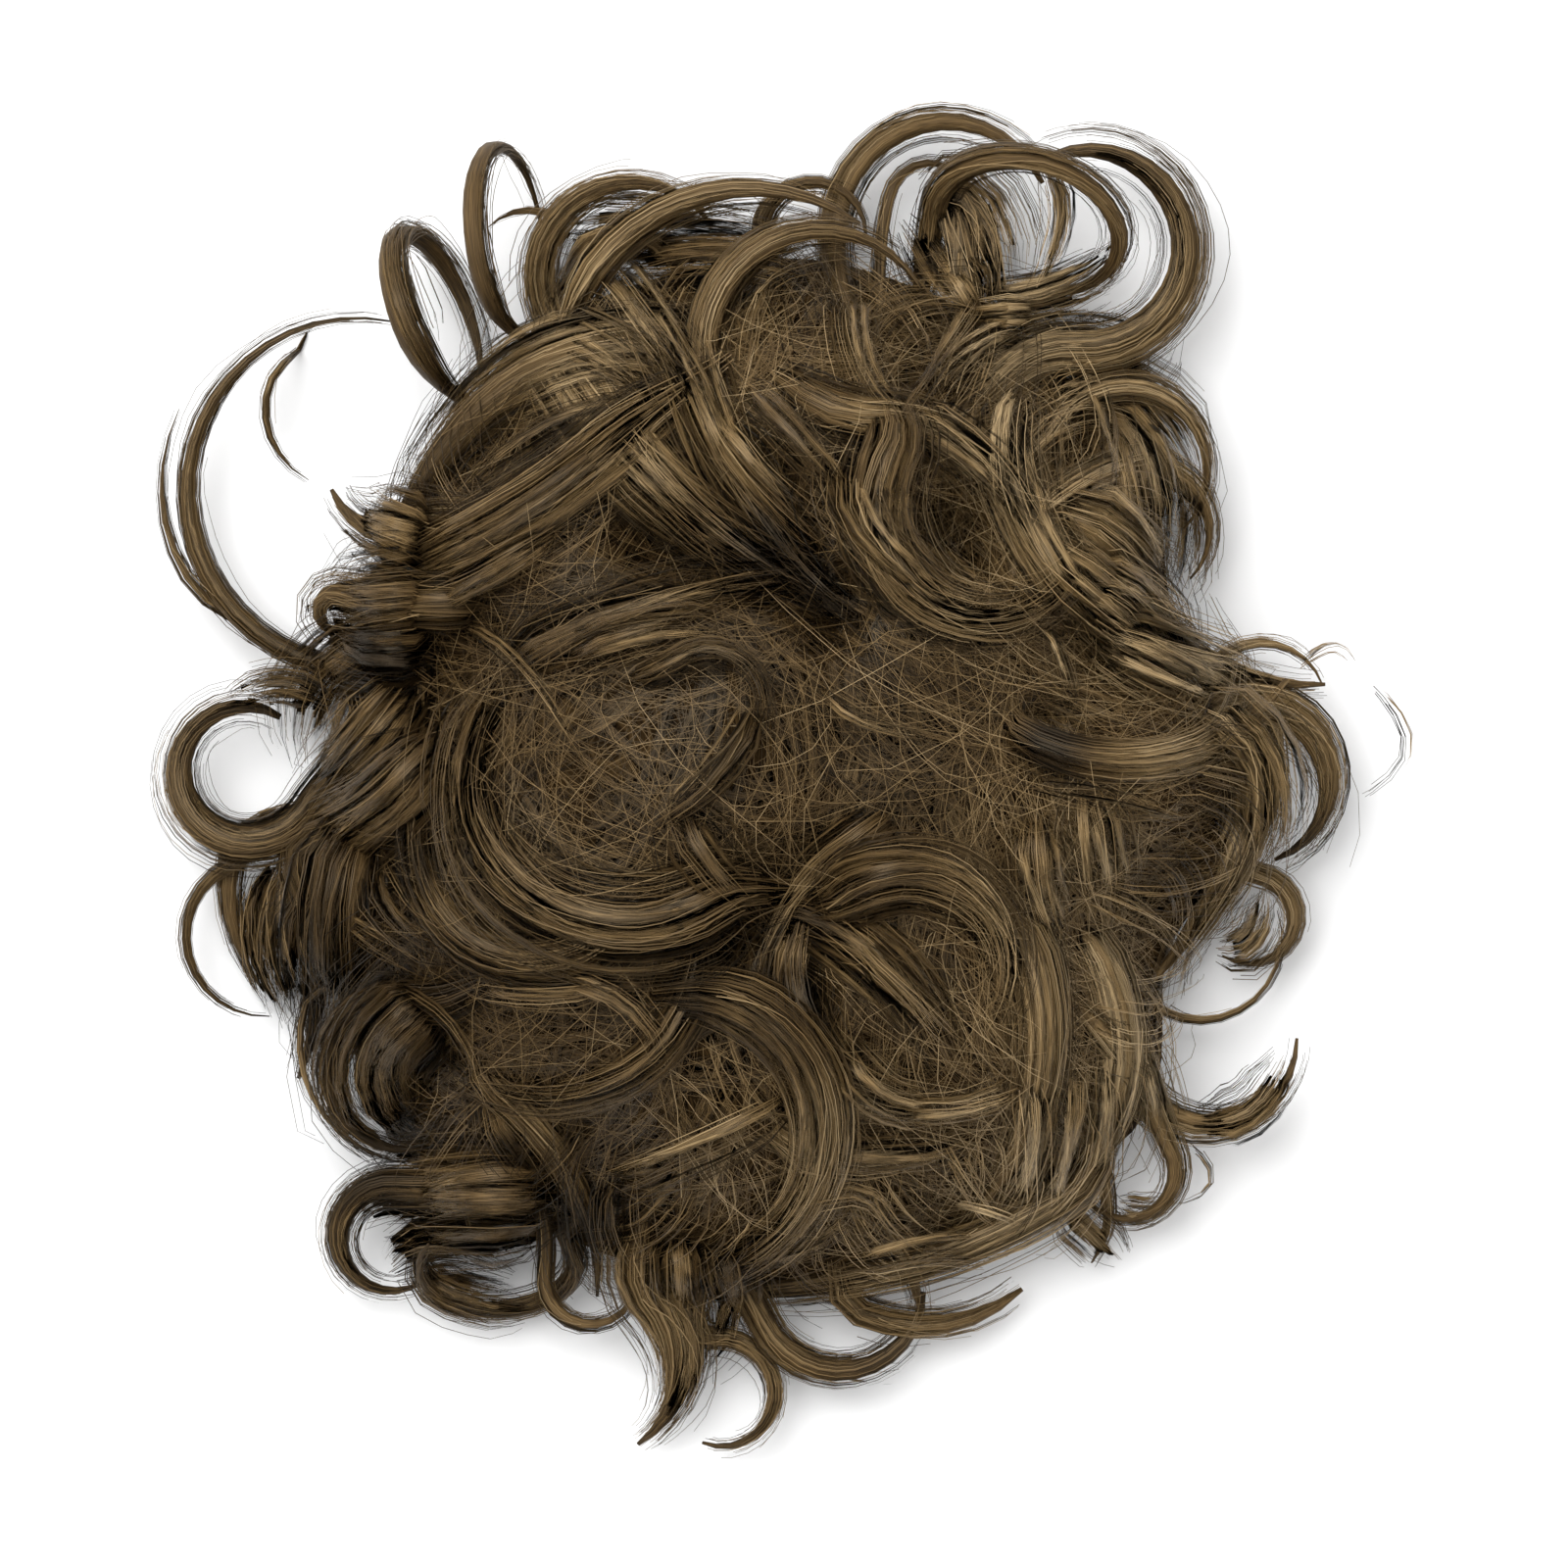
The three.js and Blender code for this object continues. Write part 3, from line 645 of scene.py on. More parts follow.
def hair_colour_group():
    tree, given, result = new_group(
        "Hair colour", "ShaderNodeTree",
        [("Tone", "NodeSocketFloat", 0.5)], [("Colour", "NodeSocketColor")],
    )
    ramp = add_node(tree, "ShaderNodeValToRGB", [given.outputs["Tone"]])
    fill_ramp(ramp, HAIR_COLOURS)
    tree.links.new(ramp, result.inputs["Colour"])
    return tree


HAIR_COLOUR = hair_colour_group()
print("hair colour group:", len(HAIR_COLOUR.nodes), "nodes")

# %% [markdown]
# Strands shine a little, so their material is a half smooth brown whose tone comes from the piece's
# own attribute. Hair lights up as a sheet and not as single threads, so a strand is shaded as if it
# faced the way its lock faces there. The flat sheets and the bodies under the strands have fine
# streaks along the lock, so that a gap between two strands shows more hair and not a plain tube. A
# sheet is also open between its streaks, most of all at its sides and ends, so that it reads as many
# fine hairs. The streaks are a node group, because three materials use them. Blender's own hair
# shader would shine alike, but the exported model could not keep it.

# %% Materials of the hair
STRAND_ROUGHNESS = 0.45
STRAND_SHEEN = 0.30
SHEEN_COLOUR = (1.0, 0.86, 0.66, 1.0)
BODY_ROUGHNESS = 0.6
DEEP_ROUGHNESS = 0.9
DULL = 0.05
STREAKS_PER_MM = 8.0
DEEP_STREAKS_PER_MM = 1.0
BROAD_STREAKS = 0.22
STREAK_CONTRAST = 0.8
BROAD_CONTRAST = 0.35
NOISE_DETAIL = 1.0
NOISE_ROUGHNESS = 0.5
NOISE_MIDDLE = 0.5
FRAYED_SIDE = (0.2, 1.0)
FRAYED_TIP = (0.35, 1.0)
FRAYED_ROOT = (0.7, 1.0)
WHOLE_LEVEL = 0.44
FRAYED_LEVEL = 0.74
HAIR_SHARPNESS = 9.0
BUMP_STRENGTH = 0.5
BUMP_DEPTH = 0.3 * MM


def new_material(name, roughness, specular=0.5):
    material = bpy.data.materials.new(name)
    material.use_nodes = True
    shader = material.node_tree.nodes["Principled BSDF"]
    shader.inputs["Roughness"].default_value = roughness
    shader.inputs["Specular IOR Level"].default_value = specular
    return material, material.node_tree, shader


def streak_group():
    """Fine and broad streaks: how much they lighten or darken the hair, and their height."""
    tree, given, result = new_group(
        "Hair streaks", "ShaderNodeTree",
        [("Place", "NodeSocketVector", None), ("Streaks per mm", "NodeSocketFloat", STREAKS_PER_MM)],
        [("Shade", "NodeSocketFloat"), ("Height", "NodeSocketFloat")],
    )
    place, scale = given.outputs["Place"], given.outputs["Streaks per mm"]
    fine = add_node(tree, "ShaderNodeTexNoise", [place, scale, NOISE_DETAIL, NOISE_ROUGHNESS])
    broad_scale = add_math(tree, "MULTIPLY", scale, BROAD_STREAKS)
    broad = add_node(tree, "ShaderNodeTexNoise", [place, broad_scale, NOISE_DETAIL, NOISE_ROUGHNESS])
    tint = add_math(tree, "MULTIPLY", add_math(tree, "SUBTRACT", broad, NOISE_MIDDLE), BROAD_CONTRAST)
    swing = add_math(tree, "SUBTRACT", fine, NOISE_MIDDLE)
    shade = add_math(tree, "MULTIPLY_ADD", swing, STREAK_CONTRAST, tint)
    tree.links.new(shade, result.inputs["Shade"])
    tree.links.new(fine, result.inputs["Height"])
    return tree


HAIR_STREAKS = streak_group()


def place_group(tree, group, **inputs):
    """Places a node group in a material and feeds its inputs with values or sockets."""
    node = tree.nodes.new("ShaderNodeGroup")
    node.node_tree = group
    for name, value in inputs.items():
        socket = node.inputs[name.replace("_", " ")]
        if isinstance(value, bpy.types.NodeSocket):
            tree.links.new(value, socket)
        else:
            socket.default_value = value
    return node.outputs


def attribute(tree, name, output):
    return add_node(tree, "ShaderNodeAttribute", attribute_name=name).node.outputs[output]


def hair_material(name, roughness, specular, streaks=None, faces_as_laid=True):
    """Hair whose tone is an attribute, with or without streaks, shaded as its lock faces or as itself."""
    material, tree, shader = new_material(name, roughness, specular)
    shader.inputs["Specular Tint"].default_value = SHEEN_COLOUR
    tone = attribute(tree, "tone", "Fac")
    if streaks:
        drawn = place_group(
            tree, HAIR_STREAKS, Place=attribute(tree, "streak", "Vector"), Streaks_per_mm=streaks
        )
        tone = add_math(tree, "ADD", tone, drawn["Shade"])
    tree.links.new(place_group(tree, HAIR_COLOUR, Tone=tone)["Colour"], shader.inputs["Base Color"])
    if faces_as_laid:
        tree.links.new(attribute(tree, "facing", "Vector"), shader.inputs["Normal"])
    else:
        bump = add_node(tree, "ShaderNodeBump").node
        bump.inputs["Strength"].default_value = BUMP_STRENGTH
        bump.inputs["Distance"].default_value = BUMP_DEPTH
        tree.links.new(drawn["Height"], bump.inputs["Height"])
        tree.links.new(bump.outputs["Normal"], shader.inputs["Normal"])
    return material


def eased(tree, value, low, high):
    """0 below the low value and 1 above the high one, with a smooth step between."""
    return add_node(tree, "ShaderNodeMapRange", [value, low, high], interpolation_type="SMOOTHSTEP")


def fray(material):
    """Opens gaps between the streaks of a sheet of hair, most of all at its sides and its two ends."""
    tree = material.node_tree
    streaks = next(node for node in tree.nodes if node.type == "GROUP" and node.node_tree == HAIR_STREAKS)
    share = attribute(tree, "share", "Fac")
    side = eased(tree, add_math(tree, "ABSOLUTE", attribute(tree, "across", "Fac")), *FRAYED_SIDE)
    tip = eased(tree, share, *FRAYED_TIP)
    root = eased(tree, add_math(tree, "SUBTRACT", 1.0, share), *FRAYED_ROOT)
    frayed = add_math(tree, "MAXIMUM", side, add_math(tree, "MAXIMUM", tip, root))
    level = add_math(tree, "MULTIPLY_ADD", frayed, FRAYED_LEVEL - WHOLE_LEVEL, WHOLE_LEVEL)
    above = add_math(tree, "SUBTRACT", streaks.outputs["Height"], level)
    cover = add_math(tree, "MULTIPLY_ADD", above, HAIR_SHARPNESS, 0.5)
    cover.node.use_clamp = True
    tree.links.new(cover, tree.nodes["Principled BSDF"].inputs["Alpha"])


HAIR_STRAND = hair_material("hair strand", STRAND_ROUGHNESS, STRAND_SHEEN)
HAIR_SHEET = hair_material("hair sheet", STRAND_ROUGHNESS, STRAND_SHEEN, STREAKS_PER_MM)
fray(HAIR_SHEET)
HAIR_BODY = hair_material("hair body", BODY_ROUGHNESS, STRAND_SHEEN, STREAKS_PER_MM, False)
DEEP_HAIR = hair_material("deep hair", DEEP_ROUGHNESS, DULL, DEEP_STREAKS_PER_MM, False)
print("hair materials:", [m.name for m in (HAIR_STRAND, HAIR_SHEET, HAIR_BODY, DEEP_HAIR)])

# %% [markdown]
# The hair isn't the same brown all over: each lock has a tone of its own. On top of that, a row of
# the first table is a round patch of painted light, where the hair is made lighter, or of painted
# shade, where it is made darker, as light would fall there. A row of the second is a pit, where one
# looks down between the curls. In it the hair is painted darker as painted shade, the mound is
# dented and the tangle is thin. The mesh could be painted instead, but a patch in a table reaches
# every strand that crosses it.

# %% Lock tones, painted light and painted shade
TONE_SEED = 11
TONE_SPREAD = 0.10

tone_source = np.random.default_rng(TONE_SEED)
LOCK_TONES = {name: float(tone_source.uniform(-TONE_SPREAD, TONE_SPREAD)) for name in LINES}
for wisp in WISPS + WEBS:
    LOCK_TONES[wisp["name"]] += wisp["tone"]

# Patches of painted light, where the shift is above 0, and of painted shade, where it is below.
LIGHT_AND_SHADE_SPOTS = read_table("""
name            x    y  radius  shift
right          75    8    48   0.17
lower_right    52  -60    38   0.17
top_right      58   60    34   0.08
crest         -15   62    28   0.06
left          -68  -10    36  -0.09
lower_left    -50  -50    34  -0.08
top_strip     -32   77    15   0.24
top_middle     -4   78    13   0.15
top_brow       38   77    16   0.26
right_upper    42   55    17   0.15
curl_end       32   33     9   0.26
right_neck     76   19    11   0.22
right_low      48  -25    17   0.14
fall_foot      61  -47    13   0.18
sweep          40  -69    14   0.20
bottom         10  -62    16   0.15
bottom_edge    17  -80     8   0.20
hook           14  -98     9  -0.12
low_left      -41  -55     9   0.10
long_low      -10  -66    12   0.16
top_centre     17   77     9   0.16
left_hollow   -63   26    16  -0.18
left_band     -41   33    16  -0.24
left_side     -78  -33    16  -0.20
left_inner    -56  -33    12  -0.18
crown         -19    4    16  -0.26
parting         3   62     8  -0.28
parting_low     3   42    10  -0.24
centre          3   22    11  -0.26
curl_foot      17   20     9  -0.27
right_hollow   47    4    10  -0.30
knot           17  -11    10  -0.27
coil            5  -40     9  -0.21
roll_back     -70  -69     8  -0.38
roll          -45  -75    16  -0.21
turn           90  -11     8  -0.22
loop_hollow    40   92    12   0.06
arch_hollow   -12   92     8  -0.15
""")

PITS = read_table("""
name          x    y   radius depth
band_pit    -38   55     8      6
crest_pit   -20   40    11      9
front_pit    -4   39    10      9
curl_pit     27   40    10     10
neck_pit      8   30     9      7
knot_pit    -10  -26     8     11
spiral_pit    6  -24     6     10
ring_pit    -16  -33     7      8
coil_pit      2  -36     7      9
fall_pit     65  -15     8      8
turn_pit     73   -5     7      7
left_pit    -66   20     7      6
side_pit    -62  -14     8      6
roll_pit    -47  -63     7      7
wrap_pit    -67  -58     7      6
right_pit    45    8     8      6
top_pit      23   70     6      6
tail_pit    -30  -74     8      7
sweep_pit    -8  -82     5      5
""")
# Painted shade: how much darker the hair is painted at the middle of a pit.
PIT_PAINTED_SHADE = 0.34
PIT_EDGE = 1.4
SPOT_EDGE = 1.3


def pit_share(points):
    """How far inside a pit each point lies, from 0 to 1 at the middle, and how deep the pit is there."""
    share = np.zeros(len(points))
    dent = np.zeros(len(points))
    for pit in PITS:
        gap = np.linalg.norm(points[:, :2] - [pit["x"], pit["y"]], axis=1) / pit["radius"]
        here = smooth(PIT_EDGE * (1 - gap))
        share = np.maximum(share, here)
        dent = np.maximum(dent, here * pit["depth"])
    return share, dent


def painted_light_and_shade(points):
    """The painted light and painted shade that the hair gets at each place, from the patches and pits."""
    shift = np.zeros(len(points))
    for spot in LIGHT_AND_SHADE_SPOTS:
        gap = np.linalg.norm(points[:, :2] - [spot["x"], spot["y"]], axis=1) / spot["radius"]
        shift += spot["shift"] * smooth(SPOT_EDGE - gap)
    return shift - PIT_PAINTED_SHADE * pit_share(points)[0]


print("tone patches:", len(LIGHT_AND_SHADE_SPOTS), "and pits:", len(PITS))

# %% [markdown]
# Under the strands each free lock has a solid body about two thirds as thick as the lock, so that no
# floor shows through it. A lock that lies on the mound needs none. The body is a tube lofted along
# the line, closed at both ends. A curve with a bevel would give the same tube, but without the streak
# attribute. That runs slowly along the lock and fast across it, which is what draws out the noise
# into streaks.

# %% Bodies of the locks
LOCK_SIDES = 12
LOCK_SHARE = 0.66
LOCK_TONE = 0.24
BODY_PAINTED_SHEEN = 0.20
BODY_POINT = 0.8
POINT_SHARPNESS = 4
BODY_FLOOR = 0.4
STREAK_STRETCH = 0.025
LOCK_APART = 40.0
LUMPS = read_table("""
lobes  height   turn
3       0.10    0.020
5       0.07   -0.035
""")


def to_metres(points):
    """Millimetres about the middle of the base as metres in the shared frame."""
    return np.asarray(points) * MM + BASE_MIDDLE


def mesh_object(name, vertices, faces, material=None, edges=()):
    mesh = bpy.data.meshes.new(name)
    mesh.from_pydata(to_metres(vertices).tolist(), list(edges), list(faces))
    mesh.shade_smooth()
    if material:
        mesh.materials.append(material)
    thing = bpy.data.objects.new(name, mesh)
    bpy.context.scene.collection.objects.link(thing)
    return thing


def store(thing, name, kind, values):
    """Puts a value on every vertex as a named attribute."""
    layer = thing.data.attributes.new(name, kind, "POINT")
    field = "vector" if kind == "FLOAT_VECTOR" else "value"
    layer.data.foreach_set(field, np.asarray(values, dtype=float).ravel())


def ring_quads(first, rings, sides):
    """Quads between rings of vertices that follow each other."""
    quads = []
    for low in range(first, first + (rings - 1) * sides, sides):
        high = low + sides
        for j in range(sides):
            k = (j + 1) % sides
            quads.append((low + j, low + k, high + k, high + j))
    return quads


def tube_faces(first, rings, sides):
    """Faces of a tube of rings, with a cap on each end."""
    last = first + (rings - 1) * sides
    root_cap = tuple(first + j for j in reversed(range(sides)))
    tip_cap = tuple(last + j for j in range(sides))
    return [*ring_quads(first, rings, sides), root_cap, tip_cap]


def lock_bodies(name, rows):
    vertices, faces, streaks, tones = [], [], [], []
    around = np.linspace(0, math.tau, LOCK_SIDES, endpoint=False)
    for number, lock in enumerate(rows):
        line = LINES[lock["name"]]
        narrow = LOCK_SHARE * (1 - BODY_POINT * line["share"] ** POINT_SHARPNESS)
        reach = np.ones((len(narrow), LOCK_SIDES))
        for lump in LUMPS:
            phase = lump["turn"] * line["share"] * line["length"] * lump["lobes"] + number
            reach += lump["height"] * np.sin(lump["lobes"] * around + phase[:, None])
        across = reach * np.outer(line["half_wide"] * narrow, np.cos(around))
        outward = reach * np.outer(line["half_deep"] * narrow, np.sin(around))
        ring = (
            line["points"][:, None]
            + across[..., None] * line["side"][:, None]
            + outward[..., None] * line["out"][:, None]
        )
        ring[..., 2] = np.maximum(ring[..., 2], BODY_FLOOR)
        faces += tube_faces(len(vertices), len(ring), LOCK_SIDES)
        vertices += ring.reshape(-1, 3).tolist()
        drawn_out = line["share"] * line["length"] * STREAK_STRETCH + number * LOCK_APART
        run = np.repeat(drawn_out[:, None], LOCK_SIDES, axis=1)
        streaks += np.stack([across, outward, run], axis=-1).reshape(-1, 3).tolist()
        # Painted highlight in the middle of the lock, plus the painted light and shade of its place.
        painted_sheen = BODY_PAINTED_SHEEN * (np.sin(math.pi * line["share"]) ** 2 - 0.5)
        tone = LOCK_TONE + LOCK_TONES[lock["name"]] + painted_light_and_shade(line["points"]) + painted_sheen
        tones += np.repeat(tone, LOCK_SIDES).tolist()
    bodies = mesh_object(name, vertices, faces, HAIR_BODY)
    store(bodies, "streak", "FLOAT_VECTOR", streaks)
    store(bodies, "tone", "FLOAT", tones)
    return bodies


ALL_LOCKS = [lock for rows in REGIONS.values() for lock in rows]
FREE_LOCKS = [lock for lock in ALL_LOCKS if not lock["drape"]]
lock_body = lock_bodies("lock_bodies", FREE_LOCKS)
print("lock bodies:", len(lock_body.data.polygons), "faces")

# %% [markdown]
# The mound's own body is the hair deep inside, painted almost black as painted shade. It is a closed
# shell: the dome on top, a flat foot just above the floor, and underneath a hollow that clears the net
# base and its ribbon edge.
# It could be sculpted, but rings from the formula agree with the height that the locks lie on.

# %% Body of the mound
MOUND_SPOKES = 120
MOUND_RINGS = 44
MOUND_FOOT = 0.4
MOUND_SHRINK = 0.95
MOUND_INSET = 0.97
HOLLOW_RADIUS = 57.6
HOLLOW_STEP = 3.6
CAP_RADIUS = 54.4
NET_EDGE = 54.0
NET_FOOT = 3.3
NET_DOME_RADIUS = 95.0
DOME_RADIUS = 95.8
DOME_MIDDLE = NET_FOOT - math.sqrt(NET_DOME_RADIUS ** 2 - NET_EDGE ** 2)
DOME_RINGS = 8
# Painted shade: the hair deep inside the mound is painted almost black.
MOUND_SHADE_TONE = 0.04
ROUND_FLOW = 1.3
STREAK_PER_STREAM = 0.35
DEEP_STREAK_STRETCH = 0.06


def stream(points):
    """A height whose contour lines run round the heaps, as the hair does."""
    level = np.zeros(len(points))
    for heap in HEAPS:
        gap = np.linalg.norm(points[:, :2] - [heap["x"], heap["y"]], axis=1) / heap["radius"]
        level += heap["radius"] ** 2 / (2 * ROUND_FLOW) * np.exp(-ROUND_FLOW * gap ** 2)
    return level


def mound_rings():
    """Rings of the shell from the top of the mound, over its edge and up the hollow."""
    spoke = np.linspace(0, math.tau, MOUND_SPOKES, endpoint=False)
    edge = mound_radius(spoke) * MOUND_INSET
    rings = []
    for share in np.sin(np.linspace(0, math.pi / 2, MOUND_RINGS + 1))[1:]:
        x = edge * share * np.cos(spoke)
        y = edge * share * np.sin(spoke)
        height = np.maximum(mound_height(x, y) * MOUND_SHRINK, MOUND_FOOT)
        ring = np.column_stack([x, y, height])
        ring[:, 2] = np.maximum(height - pit_share(ring)[1], MOUND_FOOT)
        rings.append(ring)
    hollow = [(HOLLOW_RADIUS, MOUND_FOOT), (HOLLOW_RADIUS, HOLLOW_STEP)]
    for radius in CAP_RADIUS * (1 - np.arange(DOME_RINGS) / DOME_RINGS):
        hollow.append((radius, DOME_MIDDLE + math.sqrt(DOME_RADIUS ** 2 - radius ** 2)))
    for radius, height in hollow:
        level = np.full(MOUND_SPOKES, height)
        rings.append(np.column_stack([radius * np.cos(spoke), radius * np.sin(spoke), level]))
    return rings


def top_faces(rings):
    """Faces of the mound's rings, facing out, with the middle of the top closed."""
    quads = [(a, d, c, b) for a, b, c, d in ring_quads(0, rings, MOUND_SPOKES)]
    return [*quads, tuple(range(MOUND_SPOKES))]


def mound_shell(name):
    rings = mound_rings()
    vertices = np.vstack(rings)
    last = (len(rings) - 1) * MOUND_SPOKES
    hollow_cap = tuple(last + j for j in reversed(range(MOUND_SPOKES)))
    shell = mesh_object(name, vertices, [*top_faces(len(rings)), hollow_cap], DEEP_HAIR)
    across_flow = stream(vertices) * STREAK_PER_STREAM
    drawn_out = vertices[:, :2] * DEEP_STREAK_STRETCH
    store(shell, "streak", "FLOAT_VECTOR", np.column_stack([across_flow, drawn_out]))
    store(shell, "tone", "FLOAT", np.full(len(vertices), MOUND_SHADE_TONE))
    return shell


mound_body = mound_shell("mound_body")
print("mound body:", len(mound_body.data.polygons), "faces")

# %% [markdown]
# Now the strands. Thousands of hairs along a line are a job for Geometry Nodes: the lines of one
# region become curves, each curve is copied many times, and every copy is pushed aside by its own
# random amount within the lock's oval section. These are the clumps that hair gathers into, and
# each is copied again into single hairs beside it. A slow twist lets clumps cross each other, noise
# gives them a wave, their ends are cut at different lengths, and a thin three-sided profile turns
# them into closed tubes. Blender's hair system would look alike, but it would not survive export.

# %% Geometry Nodes tree for strands along a lock
FLOOR_CLEARANCE = 0.7 * MM
TIP_SLIMMING = 0.5
STRAND_SIDES = 3
STRAND_HALF = 0.5
TRIANGLE_HALF = STRAND_HALF * math.sin(math.tau / STRAND_SIDES)
BELOW_SIDES = 0.35
UPPER_TURN = (-BELOW_SIDES, math.pi + BELOW_SIDES)
STRANDS_APART = 4000.0
NOISE_REACH = 500.0
EVEN_SHADE = 0.6
WAVE_AT_ROOT = 0.3


def random_number(tree, low, high, seed, shift):
    """A random number for each strand, the same at all of its points."""
    index = add_node(tree, "GeometryNodeInputIndex")
    seed = add_math(tree, "ADD", seed, shift)
    value = add_node(tree, "FunctionNodeRandomValue", [low, high, index, seed], data_type="FLOAT")
    return add_node(tree, "GeometryNodeFieldOnDomain", [value], data_type="FLOAT", domain="CURVE")


def named(tree, name, data_type="FLOAT"):
    return add_node(tree, "GeometryNodeInputNamedAttribute", [name], data_type=data_type)


def keep(tree, geometry, name, value, data_type="FLOAT"):
    return add_node(
        tree, "GeometryNodeStoreNamedAttribute", [geometry, None, name, value], data_type=data_type
    )


def wave_offset(tree, size, length, shift):
    """A wandering offset that is different for each strand."""
    where = add_node(tree, "GeometryNodeInputPosition")
    scale = add_math(tree, "DIVIDE", 1.0, length)
    noise = add_node(
        tree, "ShaderNodeTexNoise", [where, shift, scale, NOISE_DETAIL], noise_dimensions="4D"
    )
    colour = noise.node.outputs["Color"]
    centred = add_vector(tree, "SUBTRACT", colour, (NOISE_MIDDLE,) * 3)
    return add_vector(tree, "SCALE", centred, size)


def above_floor(tree, geometry):
    """Lifts what would go through the floor."""
    where = add_node(tree, "ShaderNodeSeparateXYZ", [add_node(tree, "GeometryNodeInputPosition")])
    x, y, z = where.node.outputs
    lifted = add_math(tree, "MAXIMUM", z, FLOOR_CLEARANCE)
    place = add_node(tree, "ShaderNodeCombineXYZ", [x, y, lifted])
    return add_node(tree, "GeometryNodeSetPosition", [geometry, None, place])


def finish_strands(tree, curves, width, flatness, material, result):
    """Turns curves into closed three-sided tubes that taper to the tip, flat side outwards."""
    factor = add_node(tree, "GeometryNodeSplineParameter")
    slim = add_math(tree, "SUBTRACT", 1.0, add_math(tree, "MULTIPLY", factor, TIP_SLIMMING))
    scale = add_math(tree, "MULTIPLY", slim, width)
    curves = keep(tree, curves, "share", factor)
    run = add_math(tree, "MULTIPLY", factor.node.outputs["Length"], STREAK_STRETCH / MM)
    own = random_number(tree, 0.0, STRANDS_APART, 0, 9)
    facing = add_node(tree, "GeometryNodeSetCurveNormal", mode="FREE")
    tree.links.new(curves, facing.node.inputs["Curve"])
    tree.links.new(named(tree, "facing", "FLOAT_VECTOR"), facing.node.inputs["Normal"])
    marked = keep(tree, facing, "run", add_math(tree, "ADD", run, own))
    marked = keep(tree, marked, "girth", add_math(tree, "DIVIDE", scale, MM))
    triangle = add_node(tree, "GeometryNodeCurvePrimitiveCircle", [STRAND_SIDES, STRAND_HALF])
    profile = add_node(tree, "GeometryNodeTransform")
    tree.links.new(triangle, profile.node.inputs["Geometry"])
    profile.node.inputs["Rotation"].default_value = (0, 0, math.pi)
    flat = add_node(tree, "ShaderNodeCombineXYZ", [flatness, 1.0, 1.0])
    tree.links.new(flat, profile.node.inputs["Scale"])
    place = add_node(tree, "GeometryNodeInputPosition")
    profile = keep(tree, profile, "around", place, "FLOAT_VECTOR")
    sideways = add_node(tree, "ShaderNodeSeparateXYZ", [place]).node.outputs["Y"]
    profile = keep(tree, profile, "across", add_math(tree, "DIVIDE", sideways, TRIANGLE_HALF))
    tubes = add_node(tree, "GeometryNodeCurveToMesh", [marked, profile, scale, True])
    around = add_vector(tree, "SCALE", named(tree, "around", "FLOAT_VECTOR"), named(tree, "girth"))
    drawn_out = add_node(tree, "ShaderNodeCombineXYZ", [0.0, 0.0, named(tree, "run")])
    tubes = keep(tree, tubes, "streak", add_vector(tree, "ADD", around, drawn_out), "FLOAT_VECTOR")
    for spent in ("run", "girth", "around", "breadth"):
        tubes = add_node(tree, "GeometryNodeRemoveAttribute", [tubes, spent])
    smooth_tubes = add_node(tree, "GeometryNodeSetShadeSmooth", [tubes])
    whole = add_node(tree, "GeometryNodeRealizeInstances", [smooth_tubes])
    tree.links.new(add_node(tree, "GeometryNodeSetMaterial", [whole, None, material]), result.inputs[0])


